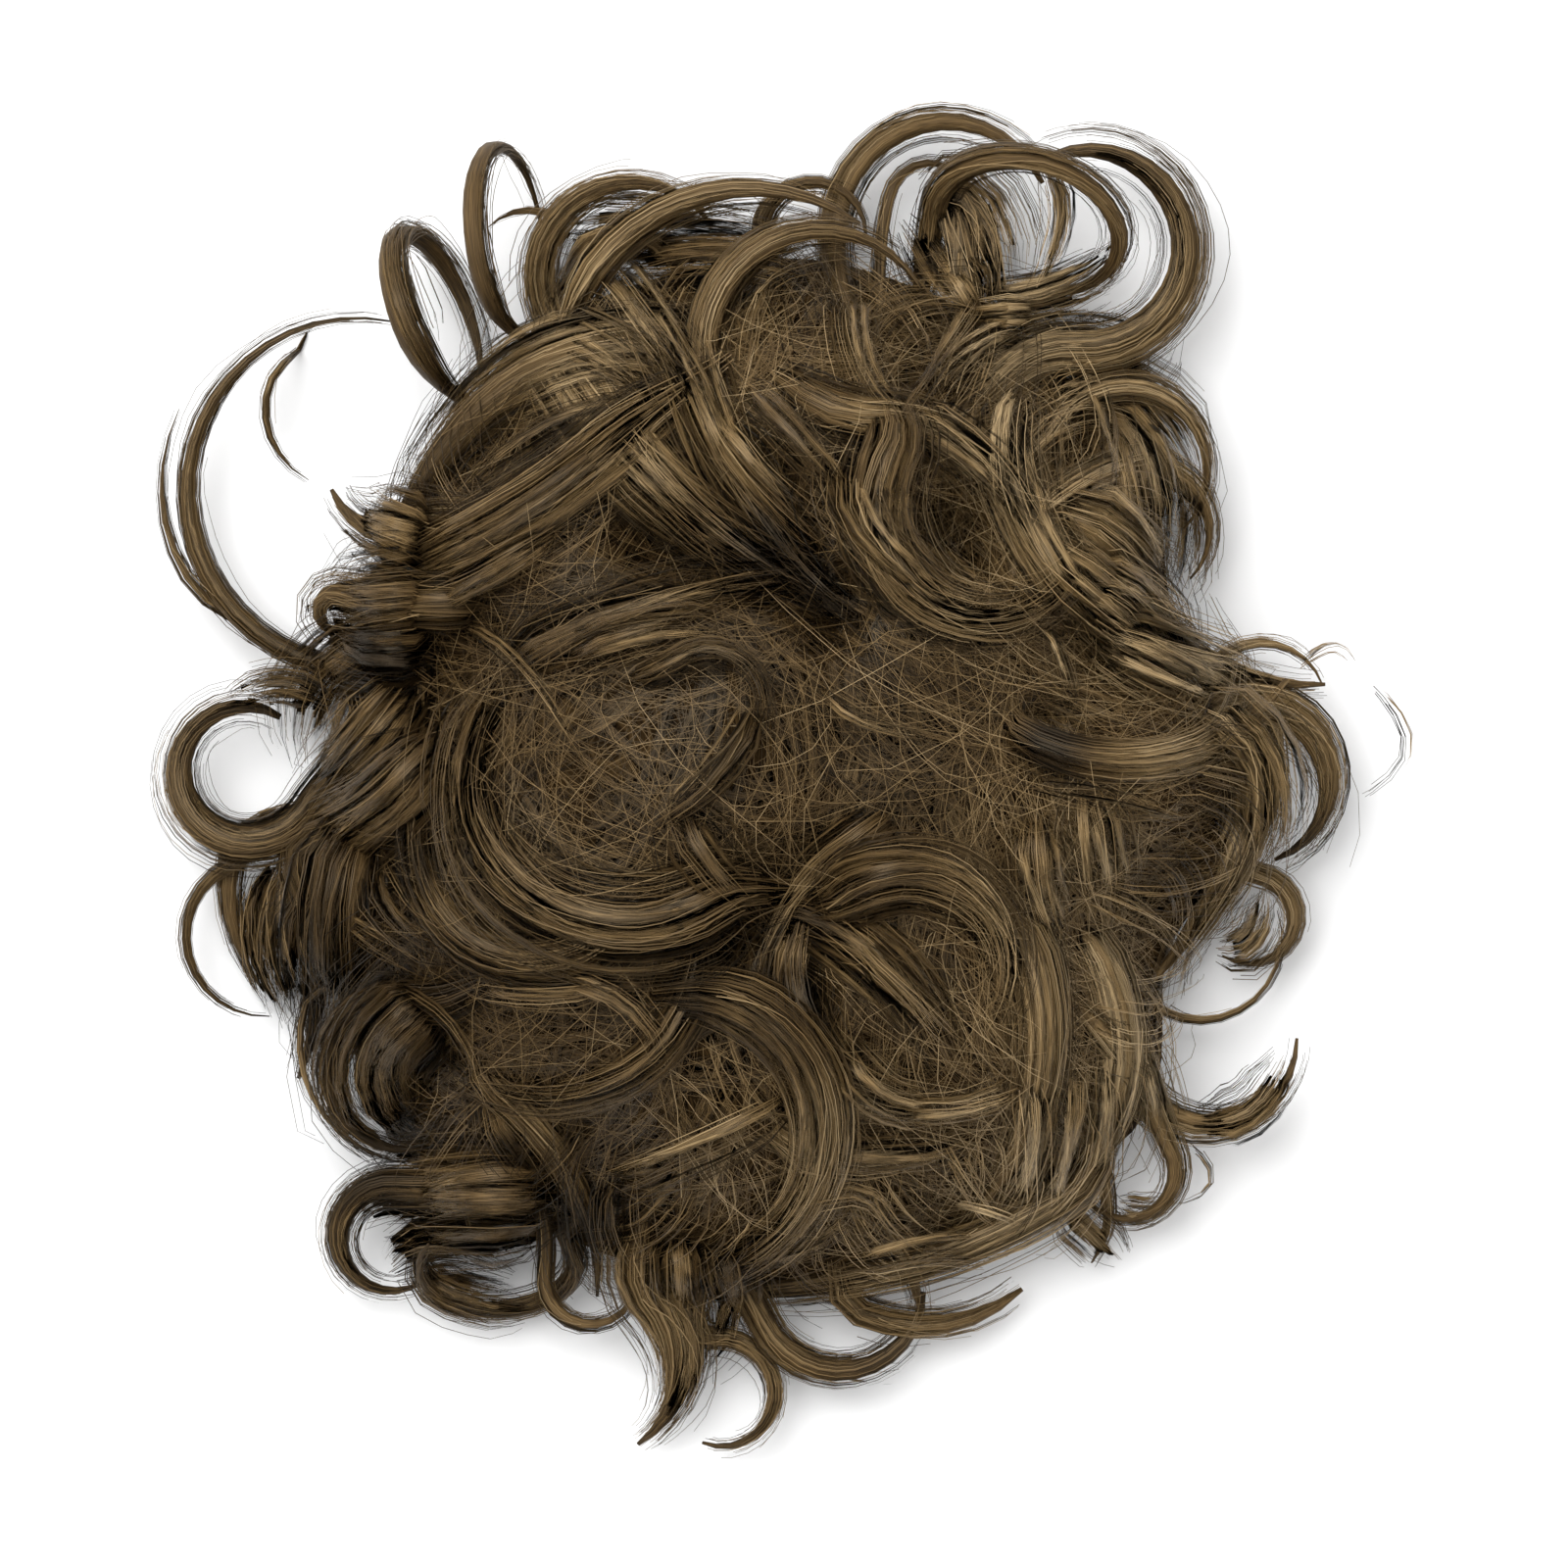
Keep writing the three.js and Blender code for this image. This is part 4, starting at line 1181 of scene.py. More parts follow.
def lock_strand_tree():
    tree, given, result = new_group(
        "Strands along locks", "GeometryNodeTree",
        [
            ("Lines", "NodeSocketGeometry", None),
            ("Share of strands", "NodeSocketFloat", 1.0),
            ("Hairs in a clump", "NodeSocketInt", 8),
            ("Clump size", "NodeSocketFloat", 0.2),
            ("Width", "NodeSocketFloat", 0.2 * MM),
            ("Width share", "NodeSocketFloat", 0.0),
            ("Flatness", "NodeSocketFloat", 1.0),
            ("Inner reach", "NodeSocketFloat", 0.6),
            ("Outer reach", "NodeSocketFloat", 1.0),
            ("Twist", "NodeSocketFloat", 1.0),
            ("Wave", "NodeSocketFloat", 1.0 * MM),
            ("Wave length", "NodeSocketFloat", 25 * MM),
            ("Stray", "NodeSocketFloat", 1.0 * MM),
            ("Latest root", "NodeSocketFloat", 0.1),
            ("Earliest tip", "NodeSocketFloat", 0.8),
            ("Tone", "NodeSocketFloat", 0.5),
            ("Clump tone spread", "NodeSocketFloat", 0.1),
            ("Tone spread", "NodeSocketFloat", 0.2),
            ("Shade", "NodeSocketFloat", 0.2),
            ("Painted sheen", "NodeSocketFloat", 0.2),
            ("Seed", "NodeSocketInt", 1),
            ("Material", "NodeSocketMaterial", None),
        ],
        [("Strands", "NodeSocketGeometry")],
    )
    ask = given.outputs
    seed = ask["Seed"]

    def spread_out(angle, reach):
        """An offset from the lock's line, within its oval section."""
        wide = add_math(tree, "MULTIPLY", reach, named(tree, "half_wide"))
        deep = add_math(tree, "MULTIPLY", reach, named(tree, "half_deep"))
        across = add_math(tree, "MULTIPLY", wide, add_math(tree, "COSINE", angle))
        outward = add_math(tree, "MULTIPLY", deep, add_math(tree, "SINE", angle))
        side = add_vector(tree, "SCALE", named(tree, "side", "FLOAT_VECTOR"), across)
        out = add_vector(tree, "SCALE", named(tree, "out", "FLOAT_VECTOR"), outward)
        return add_vector(tree, "ADD", side, out)

    curves = add_node(tree, "GeometryNodeMeshToCurve", [ask["Lines"]])
    wanted = add_math(tree, "MULTIPLY", named(tree, "strands"), ask["Share of strands"])
    clump_count = add_math(tree, "CEIL", add_math(tree, "DIVIDE", wanted, ask["Hairs in a clump"]))
    clumps = add_node(tree, "GeometryNodeDuplicateElements", [curves, None, clump_count], domain="SPLINE")
    share = add_node(tree, "GeometryNodeSplineParameter")
    turn = random_number(tree, *UPPER_TURN, seed, 1)
    twist = add_math(tree, "MULTIPLY", random_number(tree, -1.0, 1.0, seed, 2), ask["Twist"])
    angle = add_math(tree, "ADD", turn, add_math(tree, "MULTIPLY", twist, share))
    span = add_math(tree, "SUBTRACT", ask["Outer reach"], ask["Inner reach"])
    reach = add_math(tree, "MULTIPLY_ADD", random_number(tree, 0.0, 1.0, seed, 3), span, ask["Inner reach"])
    # Painted shade: a clump on the lock's upper side is painted lighter, one below it darker.
    upward = add_math(tree, "SUBTRACT", add_math(tree, "SINE", angle), EVEN_SHADE)
    # Painted highlight: the middle of the lock is painted lighter than its ends.
    half_turn = add_math(tree, "MULTIPLY", share, math.pi)
    bulge = add_math(tree, "POWER", add_math(tree, "SINE", half_turn), 2.0)
    painted_sheen = add_math(tree, "MULTIPLY", add_math(tree, "SUBTRACT", bulge, 0.5), ask["Painted sheen"])
    lit = add_math(tree, "MULTIPLY_ADD", upward, ask["Shade"], painted_sheen)
    swing = add_math(tree, "MULTIPLY", random_number(tree, -1.0, 1.0, seed, 6), ask["Clump tone spread"])
    own = add_math(tree, "ADD", add_math(tree, "ADD", named(tree, "lock_tone_and_painted_light"), ask["Tone"]), swing)
    clumps = keep(tree, clumps, "clump_tone", add_math(tree, "ADD", own, lit))
    side = add_vector(tree, "SCALE", named(tree, "side", "FLOAT_VECTOR"), add_math(tree, "COSINE", angle))
    out = add_vector(tree, "SCALE", named(tree, "out", "FLOAT_VECTOR"), add_math(tree, "SINE", angle))
    clumps = keep(tree, clumps, "facing", add_vector(tree, "ADD", side, out), "FLOAT_VECTOR")
    growing = add_math(tree, "MULTIPLY_ADD", share, 1 - WAVE_AT_ROOT, WAVE_AT_ROOT)
    wave_size = add_math(tree, "MULTIPLY", ask["Wave"], growing)
    wave = wave_offset(tree, wave_size, ask["Wave length"], random_number(tree, 0.0, NOISE_REACH, seed, 4))
    aside = add_vector(tree, "ADD", spread_out(angle, reach), wave)
    clumps = add_node(tree, "GeometryNodeSetPosition", [clumps, None, None, aside])

    hairs = add_node(
        tree, "GeometryNodeDuplicateElements", [clumps, None, ask["Hairs in a clump"]], domain="SPLINE"
    )
    hair_turn = random_number(tree, 0.0, math.tau, seed, 11)
    hair_reach = add_math(tree, "MULTIPLY", random_number(tree, 0.0, 1.0, seed, 12), ask["Clump size"])
    stray_size = add_math(tree, "MULTIPLY", ask["Stray"], growing)
    stray_shift = random_number(tree, 0.0, NOISE_REACH, seed, 13)
    stray = wave_offset(tree, stray_size, ask["Wave length"], stray_shift)
    beside = add_vector(tree, "ADD", spread_out(hair_turn, hair_reach), stray)
    hairs = add_node(tree, "GeometryNodeSetPosition", [hairs, None, None, beside])
    root_cut = random_number(tree, 0.0, ask["Latest root"], seed, 7)
    tip_cut = random_number(tree, ask["Earliest tip"], 1.0, seed, 5)
    hairs = add_node(tree, "GeometryNodeTrimCurve", [hairs, None, root_cut, tip_cut])
    swing = add_math(tree, "MULTIPLY", random_number(tree, -1.0, 1.0, seed, 14), ask["Tone spread"])
    hairs = keep(tree, hairs, "tone", add_math(tree, "ADD", named(tree, "clump_tone"), swing))
    breadth = add_math(tree, "MULTIPLY_ADD", named(tree, "half_wide"), ask["Width share"], ask["Width"])
    whole = above_floor(tree, keep(tree, hairs, "breadth", breadth))
    for spent in ("side", "out", "half_wide", "half_deep", "strands", "lock_tone_and_painted_light", "clump_tone"):
        whole = add_node(tree, "GeometryNodeRemoveAttribute", [whole, spent])
    finish_strands(tree, whole, named(tree, "breadth"), ask["Flatness"], ask["Material"], result)
    return tree


LOCK_STRANDS = lock_strand_tree()
print("strand tree:", len(LOCK_STRANDS.nodes), "nodes")

# %% [markdown]
# The tree is run twice for each region: once for flat sheets, which fill the lock, and once for the
# single hairs on top of them. The wisps and the webs get the same two runs, with looks of their own.
# A wide lock gets more hairs than a wisp. A last, sparse run with a wider reach and more wave makes
# the flyaway hairs.

# %% Strands of the locks
STRANDS_PER_MM = 6.0
SHEET_SEED = 300
STRAND_SEED = 100
WISP_SEED = 400
WEB_SEED = 410
FLYAWAY_SEED = 200
# In each look, Shade is painted shade on a lock's under side, and the sheen is a painted highlight.
RIBBON_LOOK = {
    "Share of strands": 0.16, "Hairs in a clump": 1, "Clump size": 0.0,
    "Width": 0.8 * MM, "Width share": 0.6, "Flatness": 0.07,
    "Inner reach": 0.62, "Outer reach": 1.05, "Twist": 0.9,
    "Wave": 1.2 * MM, "Wave length": 30 * MM, "Stray": 0.0,
    "Latest root": 0.1, "Earliest tip": 0.8,
    "Tone": 0.40, "Clump tone spread": 0.08, "Tone spread": 0.0, "Shade": 0.12, "Painted sheen": 0.20,
    "Material": HAIR_SHEET,
}
STRAND_LOOK = {
    "Share of strands": 0.8, "Hairs in a clump": 8, "Clump size": 0.45,
    "Width": 0.18 * MM, "Flatness": 1.0,
    "Inner reach": 0.62, "Outer reach": 1.0, "Twist": 0.9,
    "Wave": 1.4 * MM, "Wave length": 30 * MM, "Stray": 1.2 * MM,
    "Latest root": 0.15, "Earliest tip": 0.72,
    "Tone": 0.43, "Clump tone spread": 0.06, "Tone spread": 0.22, "Shade": 0.15, "Painted sheen": 0.22,
    "Material": HAIR_STRAND,
}
CROWN_RIBBONS = {
    **RIBBON_LOOK,
    "Share of strands": 0.30, "Inner reach": 0.1, "Outer reach": 1.35, "Twist": 1.2,
    "Wave": 4 * MM, "Latest root": 0.2, "Earliest tip": 0.7,
}
CROWN_LOOK = {
    **STRAND_LOOK,
    "Share of strands": 0.95, "Clump size": 0.6, "Inner reach": 0.2, "Outer reach": 1.35, "Twist": 1.4,
    "Wave": 4.5 * MM, "Stray": 3.0 * MM, "Latest root": 0.25, "Earliest tip": 0.6,
}
WISP_RIBBONS = {
    **RIBBON_LOOK,
    "Share of strands": 0.10, "Inner reach": 0.1, "Outer reach": 1.2,
    "Wave": 4 * MM, "Latest root": 0.2, "Earliest tip": 0.75, "Tone": 0.36,
}
WISP_LOOK = {
    **STRAND_LOOK,
    "Share of strands": 0.26, "Hairs in a clump": 5, "Clump size": 0.8,
    "Inner reach": 0.2, "Outer reach": 1.35, "Wave": 5 * MM, "Stray": 4.5 * MM,
    "Latest root": 0.25, "Earliest tip": 0.65, "Tone": 0.42,
}
WEB_RIBBONS = {**WISP_RIBBONS, "Share of strands": 0.34, "Wave": 3 * MM}
WEB_LOOK = {**WISP_LOOK, "Share of strands": 0.7, "Wave": 3 * MM, "Stray": 3 * MM}
FLYAWAY_LOOK = {
    "Share of strands": 0.12, "Hairs in a clump": 1, "Clump size": 0.0,
    "Width": 0.18 * MM, "Flatness": 1.0,
    "Inner reach": 0.8, "Outer reach": 1.4, "Twist": 2.6,
    "Wave": 9 * MM, "Wave length": 24 * MM, "Stray": 0.0,
    "Latest root": 0.4, "Earliest tip": 0.6,
    "Tone": 0.64, "Clump tone spread": 0.0, "Tone spread": 0.25, "Shade": 0.0, "Painted sheen": 0.0,
    "Material": HAIR_STRAND,
}
hair_pieces = [lock_body, mound_body]


def lock_lines(name, rows):
    """Lines of locks or wisps as bare edges that carry what the strand tree asks for."""
    vertices, edges = [], []
    values = {key: [] for key in ("side", "out", "half_wide", "half_deep", "strands", "lock_tone_and_painted_light")}
    for lock in rows:
        line = LINES[lock["name"]]
        first = len(vertices)
        count = len(line["points"])
        edges += [(first + i, first + i + 1) for i in range(count - 1)]
        vertices += line["points"].tolist()
        values["side"] += line["side"].tolist()
        values["out"] += line["out"].tolist()
        values["half_wide"] += (line["half_wide"] * MM).tolist()
        values["half_deep"] += (line["half_deep"] * MM).tolist()
        values["strands"] += [STRANDS_PER_MM * (lock["wide"] + lock["deep"] / 2)] * count
        # A lock's own tone plus the painted light and shade of the places it passes.
        values["lock_tone_and_painted_light"] += (LOCK_TONES[lock["name"]] + painted_light_and_shade(line["points"])).tolist()
    lines = mesh_object(name, vertices, [], edges=edges)
    for key, column in values.items():
        store(lines, key, "FLOAT_VECTOR" if key in ("side", "out") else "FLOAT", column)
    return lines


def run_tree(source, tree, settings):
    """Runs a tree on an object and gives the result as a plain mesh."""
    modifier = source.modifiers.new(tree.name, "NODES")
    modifier.node_group = tree
    for item in tree.interface.items_tree:
        if item.item_type == "SOCKET" and item.in_out == "INPUT" and item.name in settings:
            modifier[item.identifier] = settings[item.name]
    depsgraph = bpy.context.evaluated_depsgraph_get()
    mesh = bpy.data.meshes.new_from_object(source.evaluated_get(depsgraph), depsgraph=depsgraph)
    source.modifiers.remove(modifier)
    return mesh


def discard(thing):
    mesh = thing.data
    bpy.data.objects.remove(thing)
    bpy.data.meshes.remove(mesh)


def triangles(piece):
    return sum(len(face.vertices) - 2 for face in piece.data.polygons)


def grow(name, source, tree, look):
    """Runs a tree on an object and adds the result to the hair as a piece of its own."""
    mesh = run_tree(source, tree, look)
    mesh.name = name
    piece = bpy.data.objects.new(name, mesh)
    bpy.context.scene.collection.objects.link(piece)
    hair_pieces.append(piece)
    print(name, triangles(piece), "triangles")


def grow_along(name, rows, look, seed):
    """Grows a piece of hair along the lines of locks or wisps."""
    lines = lock_lines(name + "_lines", rows)
    grow(name, lines, LOCK_STRANDS, {**look, "Seed": seed})
    discard(lines)


for number, (region, rows) in enumerate(REGIONS.items()):
    crown = region == "crown_locks"
    grow_along(region + "_ribbons", rows, CROWN_RIBBONS if crown else RIBBON_LOOK, SHEET_SEED + number)
    grow_along(region, rows, CROWN_LOOK if crown else STRAND_LOOK, STRAND_SEED + number)
grow_along("wisp_ribbons", DRAWN_WISPS, WISP_RIBBONS, WISP_SEED)
grow_along("wisps", WISPS, WISP_LOOK, WISP_SEED + 1)
grow_along("web_ribbons", WEBS, WEB_RIBBONS, WEB_SEED)
grow_along("webs", WEBS, WEB_LOOK, WEB_SEED + 1)
grow_along("flyaway_hair", ALL_LOCKS, FLYAWAY_LOOK, FLYAWAY_SEED)

# %% [markdown]
# Between the locks the mound is covered in hairs that curl and cross each other in a tangle. They
# are scattered over the mound's surface: each point gets one of a few arcs, turned along the locks
# and wisps nearby and spun by a random amount. A ray straight down finds the mound under every point
# of the arc, so that the hair drapes over it, with its ends tucked in and its middle standing a
# little proud. Drawing each by hand would take days.

# %% Geometry Nodes tree for tangled hair
ARC_POINTS = 10
CURL_ARCS = read_table("""
name    radius  sweep
tight      6     230
small      9     190
middle    14     150
wide      22     110
loose     36      75
""")
SKY_HEIGHT = 0.2
COMB_REACH = 9.0
FAR_PULL = 0.01
SHORTEST_HAIR = 6 * MM
ARCH_ROUNDNESS = 0.45
SIZE_SPREAD = (0.7, 1.3)


def combed_flow(points):
    """The direction in which the hair lies at each point, taken from the locks and wisps nearby."""
    drawn = [LINES[lock["name"]] for lock in CROWN_LOCKS + WISPS]
    places = np.vstack([line["points"][:, :2] for line in drawn])
    along = np.vstack([unit(np.gradient(line["points"][:, :2], axis=0)) for line in drawn])
    double = np.arctan2(along[:, 1], along[:, 0]) * 2
    gap = np.linalg.norm(points[:, None, :2] - places[None], axis=2) / COMB_REACH
    pull = np.exp(-gap ** 2) + FAR_PULL / (1 + gap ** 2)
    mean = np.arctan2(pull @ np.sin(double), pull @ np.cos(double)) / 2
    return np.column_stack([np.cos(mean), np.sin(mean), np.zeros(len(points))])


def curl_arc(tree, arc):
    """An arc whose middle lies at the origin and runs along X, curling to the left."""
    sweep = math.radians(arc["sweep"])
    start = -math.pi / 2 - sweep / 2
    radius = arc["radius"] * MM
    curve = add_node(tree, "GeometryNodeCurveArc", [ARC_POINTS, radius, start, sweep])
    centred = add_node(tree, "GeometryNodeTransform")
    tree.links.new(curve, centred.node.inputs["Geometry"])
    centred.node.inputs["Translation"].default_value = (0, radius, 0)
    return add_node(tree, "GeometryNodeGeometryToInstance", [centred])


def drape(tree, curves, surface, lift, tuck):
    """Lays curves on the surface under them: tucked in at both ends and lifted in the middle."""
    where = add_node(tree, "ShaderNodeSeparateXYZ", [add_node(tree, "GeometryNodeInputPosition")])
    x, y = where.node.outputs[:2]
    above = add_node(tree, "ShaderNodeCombineXYZ", [x, y, SKY_HEIGHT])
    ray = add_node(tree, "GeometryNodeRaycast", data_type="FLOAT")
    tree.links.new(surface, ray.node.inputs["Target Geometry"])
    tree.links.new(above, ray.node.inputs["Source Position"])
    ray.node.inputs["Ray Direction"].default_value = (0, 0, -1)
    ray.node.inputs["Ray Length"].default_value = SKY_HEIGHT
    ground = add_node(tree, "ShaderNodeSeparateXYZ", [ray.node.outputs["Hit Position"]]).node.outputs["Z"]
    half_turn = add_math(tree, "MULTIPLY", add_node(tree, "GeometryNodeSplineParameter"), math.pi)
    arch = add_math(tree, "POWER", add_math(tree, "SINE", half_turn), ARCH_ROUNDNESS)
    swell = add_math(tree, "MULTIPLY", arch, add_math(tree, "ADD", lift, tuck))
    rise = add_math(tree, "SUBTRACT", swell, tuck)
    height = add_math(tree, "ADD", ground, rise)
    place = add_node(tree, "ShaderNodeCombineXYZ", [x, y, height])
    missed = add_node(tree, "FunctionNodeBooleanMath", [ray.node.outputs["Is Hit"]], operation="NOT")
    marked = keep(tree, curves, "missed", missed)
    marked = keep(tree, marked, "facing", ray.node.outputs["Hit Normal"], "FLOAT_VECTOR")
    laid = add_node(tree, "GeometryNodeSetPosition", [marked, None, place])
    outside = add_math(tree, "GREATER_THAN", named(tree, "missed"), 0.5)
    inside = add_node(tree, "GeometryNodeDeleteGeometry", [laid, outside], domain="POINT")
    length = add_node(tree, "GeometryNodeSplineLength")
    short = add_math(tree, "LESS_THAN", length, SHORTEST_HAIR)
    return add_node(tree, "GeometryNodeDeleteGeometry", [inside, short], domain="CURVE")


def tangle_tree():
    tree, given, result = new_group(
        "Tangled hair", "GeometryNodeTree",
        [
            ("Surface", "NodeSocketGeometry", None),
            ("Density", "NodeSocketFloat", 100000.0),
            ("Width", "NodeSocketFloat", 0.3 * MM),
            ("Flatness", "NodeSocketFloat", 1.0),
            ("Spin", "NodeSocketFloat", 1.0),
            ("Hairs in a clump", "NodeSocketInt", 1),
            ("Clump width", "NodeSocketFloat", 0.0),
            ("Lowest lift", "NodeSocketFloat", 0.0),
            ("Highest lift", "NodeSocketFloat", 3 * MM),
            ("Tuck", "NodeSocketFloat", 1 * MM),
            ("Size", "NodeSocketFloat", 1.0),
            ("Wave", "NodeSocketFloat", 2 * MM),
            ("Wave length", "NodeSocketFloat", 15 * MM),
            ("Tone", "NodeSocketFloat", 0.5),
            ("Clump tone spread", "NodeSocketFloat", 0.1),
            ("Tone spread", "NodeSocketFloat", 0.3),
            ("Light hairs", "NodeSocketFloat", 2.0),
            ("Seed", "NodeSocketInt", 1),
            ("Material", "NodeSocketMaterial", None),
        ],
        [("Strands", "NodeSocketGeometry")],
    )
    ask = given.outputs
    seed = ask["Seed"]
    density = add_math(tree, "MULTIPLY", ask["Density"], named(tree, "cover"))
    points = add_node(
        tree, "GeometryNodeDistributePointsOnFaces", [ask["Surface"], None, density, seed]
    )
    index = add_node(tree, "GeometryNodeInputIndex")
    least = add_math(tree, "MULTIPLY", ask["Spin"], -1.0)
    spin = add_node(tree, "FunctionNodeRandomValue", [least, ask["Spin"], index, seed], data_type="FLOAT")
    flow = add_node(
        tree, "FunctionNodeAlignRotationToVector",
        [None, 1.0, named(tree, "flow", "FLOAT_VECTOR")], axis="X", pivot_axis="Z",
    )
    turn = add_node(tree, "FunctionNodeAxisAngleToRotation", [(0, 0, 1), spin])
    turned = add_node(tree, "FunctionNodeRotateRotation", [flow, turn], rotation_space="LOCAL")

    arcs = add_node(tree, "GeometryNodeJoinGeometry")
    for arc in CURL_ARCS:
        tree.links.new(curl_arc(tree, arc), arcs.node.inputs[0])
    last_arc = len(CURL_ARCS) - 1
    other_seed = add_math(tree, "ADD", seed, 1)
    pick = add_node(tree, "FunctionNodeRandomValue", [0, last_arc, index, other_seed], data_type="INT")
    third_seed = add_math(tree, "ADD", seed, 2)
    scale = add_node(
        tree, "FunctionNodeRandomValue", [*SIZE_SPREAD, index, third_seed], data_type="FLOAT"
    )
    size = add_math(tree, "MULTIPLY", scale, ask["Size"])
    hairs = add_node(
        tree, "GeometryNodeInstanceOnPoints", [points, None, arcs, True, pick, turned, size]
    )
    curves = add_node(tree, "GeometryNodeRealizeInstances", [hairs])
    swing = add_math(tree, "MULTIPLY", random_number(tree, -1.0, 1.0, seed, 5), ask["Clump tone spread"])
    # Painted light and shade: the tangle is painted darker in pits and dark patches, lighter in light ones.
    shaded = add_math(tree, "SUBTRACT", ask["Tone"], named(tree, "dark"))
    curves = keep(tree, curves, "clump_tone", add_math(tree, "ADD", shaded, swing))
    clumps = add_node(
        tree, "GeometryNodeDuplicateElements", [curves, None, ask["Hairs in a clump"]], domain="SPLINE"
    )
    aside = [
        add_math(tree, "MULTIPLY", random_number(tree, -0.5, 0.5, seed, shift), ask["Clump width"])
        for shift in (8, 9)
    ]
    beside = add_node(tree, "ShaderNodeCombineXYZ", [*aside, 0.0])
    curves = add_node(tree, "GeometryNodeSetPosition", [clumps, None, None, beside])
    lift = random_number(tree, ask["Lowest lift"], ask["Highest lift"], seed, 3)
    draped = drape(tree, curves, ask["Surface"], lift, ask["Tuck"])
    shift = random_number(tree, 0.0, NOISE_REACH, seed, 4)
    wave = wave_offset(tree, ask["Wave"], ask["Wave length"], shift)
    waved = add_node(tree, "GeometryNodeSetPosition", [draped, None, None, wave])
    seldom = add_math(tree, "POWER", random_number(tree, 0.0, 1.0, seed, 6), ask["Light hairs"])
    swing = add_math(tree, "MULTIPLY", seldom, ask["Tone spread"])
    toned = keep(tree, waved, "tone", add_math(tree, "ADD", named(tree, "clump_tone"), swing))
    for spent in ("clump_tone", "missed", "dark", "cover", "flow"):
        toned = add_node(tree, "GeometryNodeRemoveAttribute", [toned, spent])
    finish_strands(tree, above_floor(tree, toned), ask["Width"], ask["Flatness"], ask["Material"], result)
    return tree


TANGLE = tangle_tree()
print("tangle tree:", len(TANGLE.nodes), "nodes")

# %% [markdown]
# The mound gets four coats of this hair: sheets that hide it, hair that flows with the locks nearby,
# a tangle across that and a little frizz on top. Each is one run of the tree with a look of its own.
# The coats thin out towards the rim, where the locks begin, and in the pits. One coat alone would be
# simpler, but it would look like felt.

# %% Tangled hair over the mound
TANGLE_LOOKS = {
    "under_hair": {
        "Density": 9500.0, "Width": 4.0 * MM, "Flatness": 0.05, "Spin": 0.8, "Hairs in a clump": 4,
        "Clump width": 9 * MM, "Lowest lift": 0.0, "Highest lift": 1.2 * MM, "Tuck": 0.8 * MM,
        "Size": 1.9, "Wave": 2 * MM, "Wave length": 24 * MM, "Tone": 0.20,
        "Clump tone spread": 0.10, "Tone spread": 0.16, "Light hairs": 1.5, "Seed": 30,
        "Material": HAIR_SHEET,
    },
    "flowing_hair": {
        "Density": 6500.0, "Width": 0.14 * MM, "Flatness": 1.0, "Spin": 0.5, "Hairs in a clump": 11,
        "Clump width": 8 * MM, "Lowest lift": 1.0 * MM, "Highest lift": 3.2 * MM, "Tuck": 0.6 * MM,
        "Size": 1.9, "Wave": 4 * MM, "Wave length": 30 * MM, "Tone": 0.24,
        "Clump tone spread": 0.12, "Tone spread": 0.34, "Light hairs": 1.5, "Seed": 31,
        "Material": HAIR_STRAND,
    },
    "tangled_hair": {
        "Density": 62000.0, "Width": 0.12 * MM, "Flatness": 1.0, "Spin": 1.1, "Hairs in a clump": 1,
        "Clump width": 0.0, "Lowest lift": 1.6 * MM, "Highest lift": 4.5 * MM, "Tuck": 0.8 * MM,
        "Size": 1.2, "Wave": 5 * MM, "Wave length": 20 * MM, "Tone": 0.15,
        "Clump tone spread": 0.12, "Tone spread": 0.60, "Light hairs": 2.4, "Seed": 32,
        "Material": HAIR_STRAND,
    },
    "frizz": {
        "Density": 20000.0, "Width": 0.11 * MM, "Flatness": 1.0, "Spin": 1.3, "Hairs in a clump": 1,
        "Clump width": 0.0, "Lowest lift": 4.0 * MM, "Highest lift": 8.0 * MM, "Tuck": 1.0 * MM,
        "Size": 2.2, "Wave": 10 * MM, "Wave length": 30 * MM, "Tone": 0.48,
        "Clump tone spread": 0.05, "Tone spread": 0.45, "Light hairs": 2.0, "Seed": 33,
        "Material": HAIR_STRAND,
    },
}
COVER_FROM = 1.0
COVER_TO = 0.92
PIT_BARE = 0.85


def mound_surface(name):
    """The mound's top alone, with the way the hair flows on it."""
    vertices = np.vstack(mound_rings()[:MOUND_RINGS])
    surface = mesh_object(name, vertices, top_faces(MOUND_RINGS))
    edge = mound_radius(np.arctan2(vertices[:, 1], vertices[:, 0]))
    share = np.linalg.norm(vertices[:, :2], axis=1) / edge
    store(surface, "flow", "FLOAT_VECTOR", combed_flow(vertices))
    pits = pit_share(vertices)[0]
    inside = smooth((COVER_FROM - share) / (COVER_FROM - COVER_TO))
    store(surface, "cover", "FLOAT", inside * (1 - PIT_BARE * pits))
    # How much darker the tangle is painted at each place, as painted light and shade.
    store(surface, "dark", "FLOAT", -painted_light_and_shade(vertices))
    return surface


surface = mound_surface("mound_surface")
for name, look in TANGLE_LOOKS.items():
    grow(name, surface, TANGLE, look)
discard(surface)

# %% [markdown]
# The net base, the ribbon edge and the comb are hidden under the hair. They keep their packed
# meshes. The net has a woven grid, the ribbon has a finer one and the comb is plain plastic. Pictures
# of cloth could be laid on them, but two crossed waves give a weave without any file or UV map.

# %% Finishes of the hidden base
NET_COLOUR = (0.10, 0.075, 0.05, 1.0)
RIBBON_COLOUR = (0.07, 0.052, 0.035, 1.0)
COMB_COLOUR = (0.05, 0.036, 0.024, 1.0)
THREAD_SPACING = 1.6 * MM
THREAD_DEPTH = 0.3 * MM
BETWEEN_THREADS = 0.55
THREAD_EDGES = (0.2, 0.8)
CLOTH_SHEEN = 0.3
NET_ROUGHNESS = 0.8
RIBBON_ROUGHNESS = 0.6
COMB_ROUGHNESS = 0.3


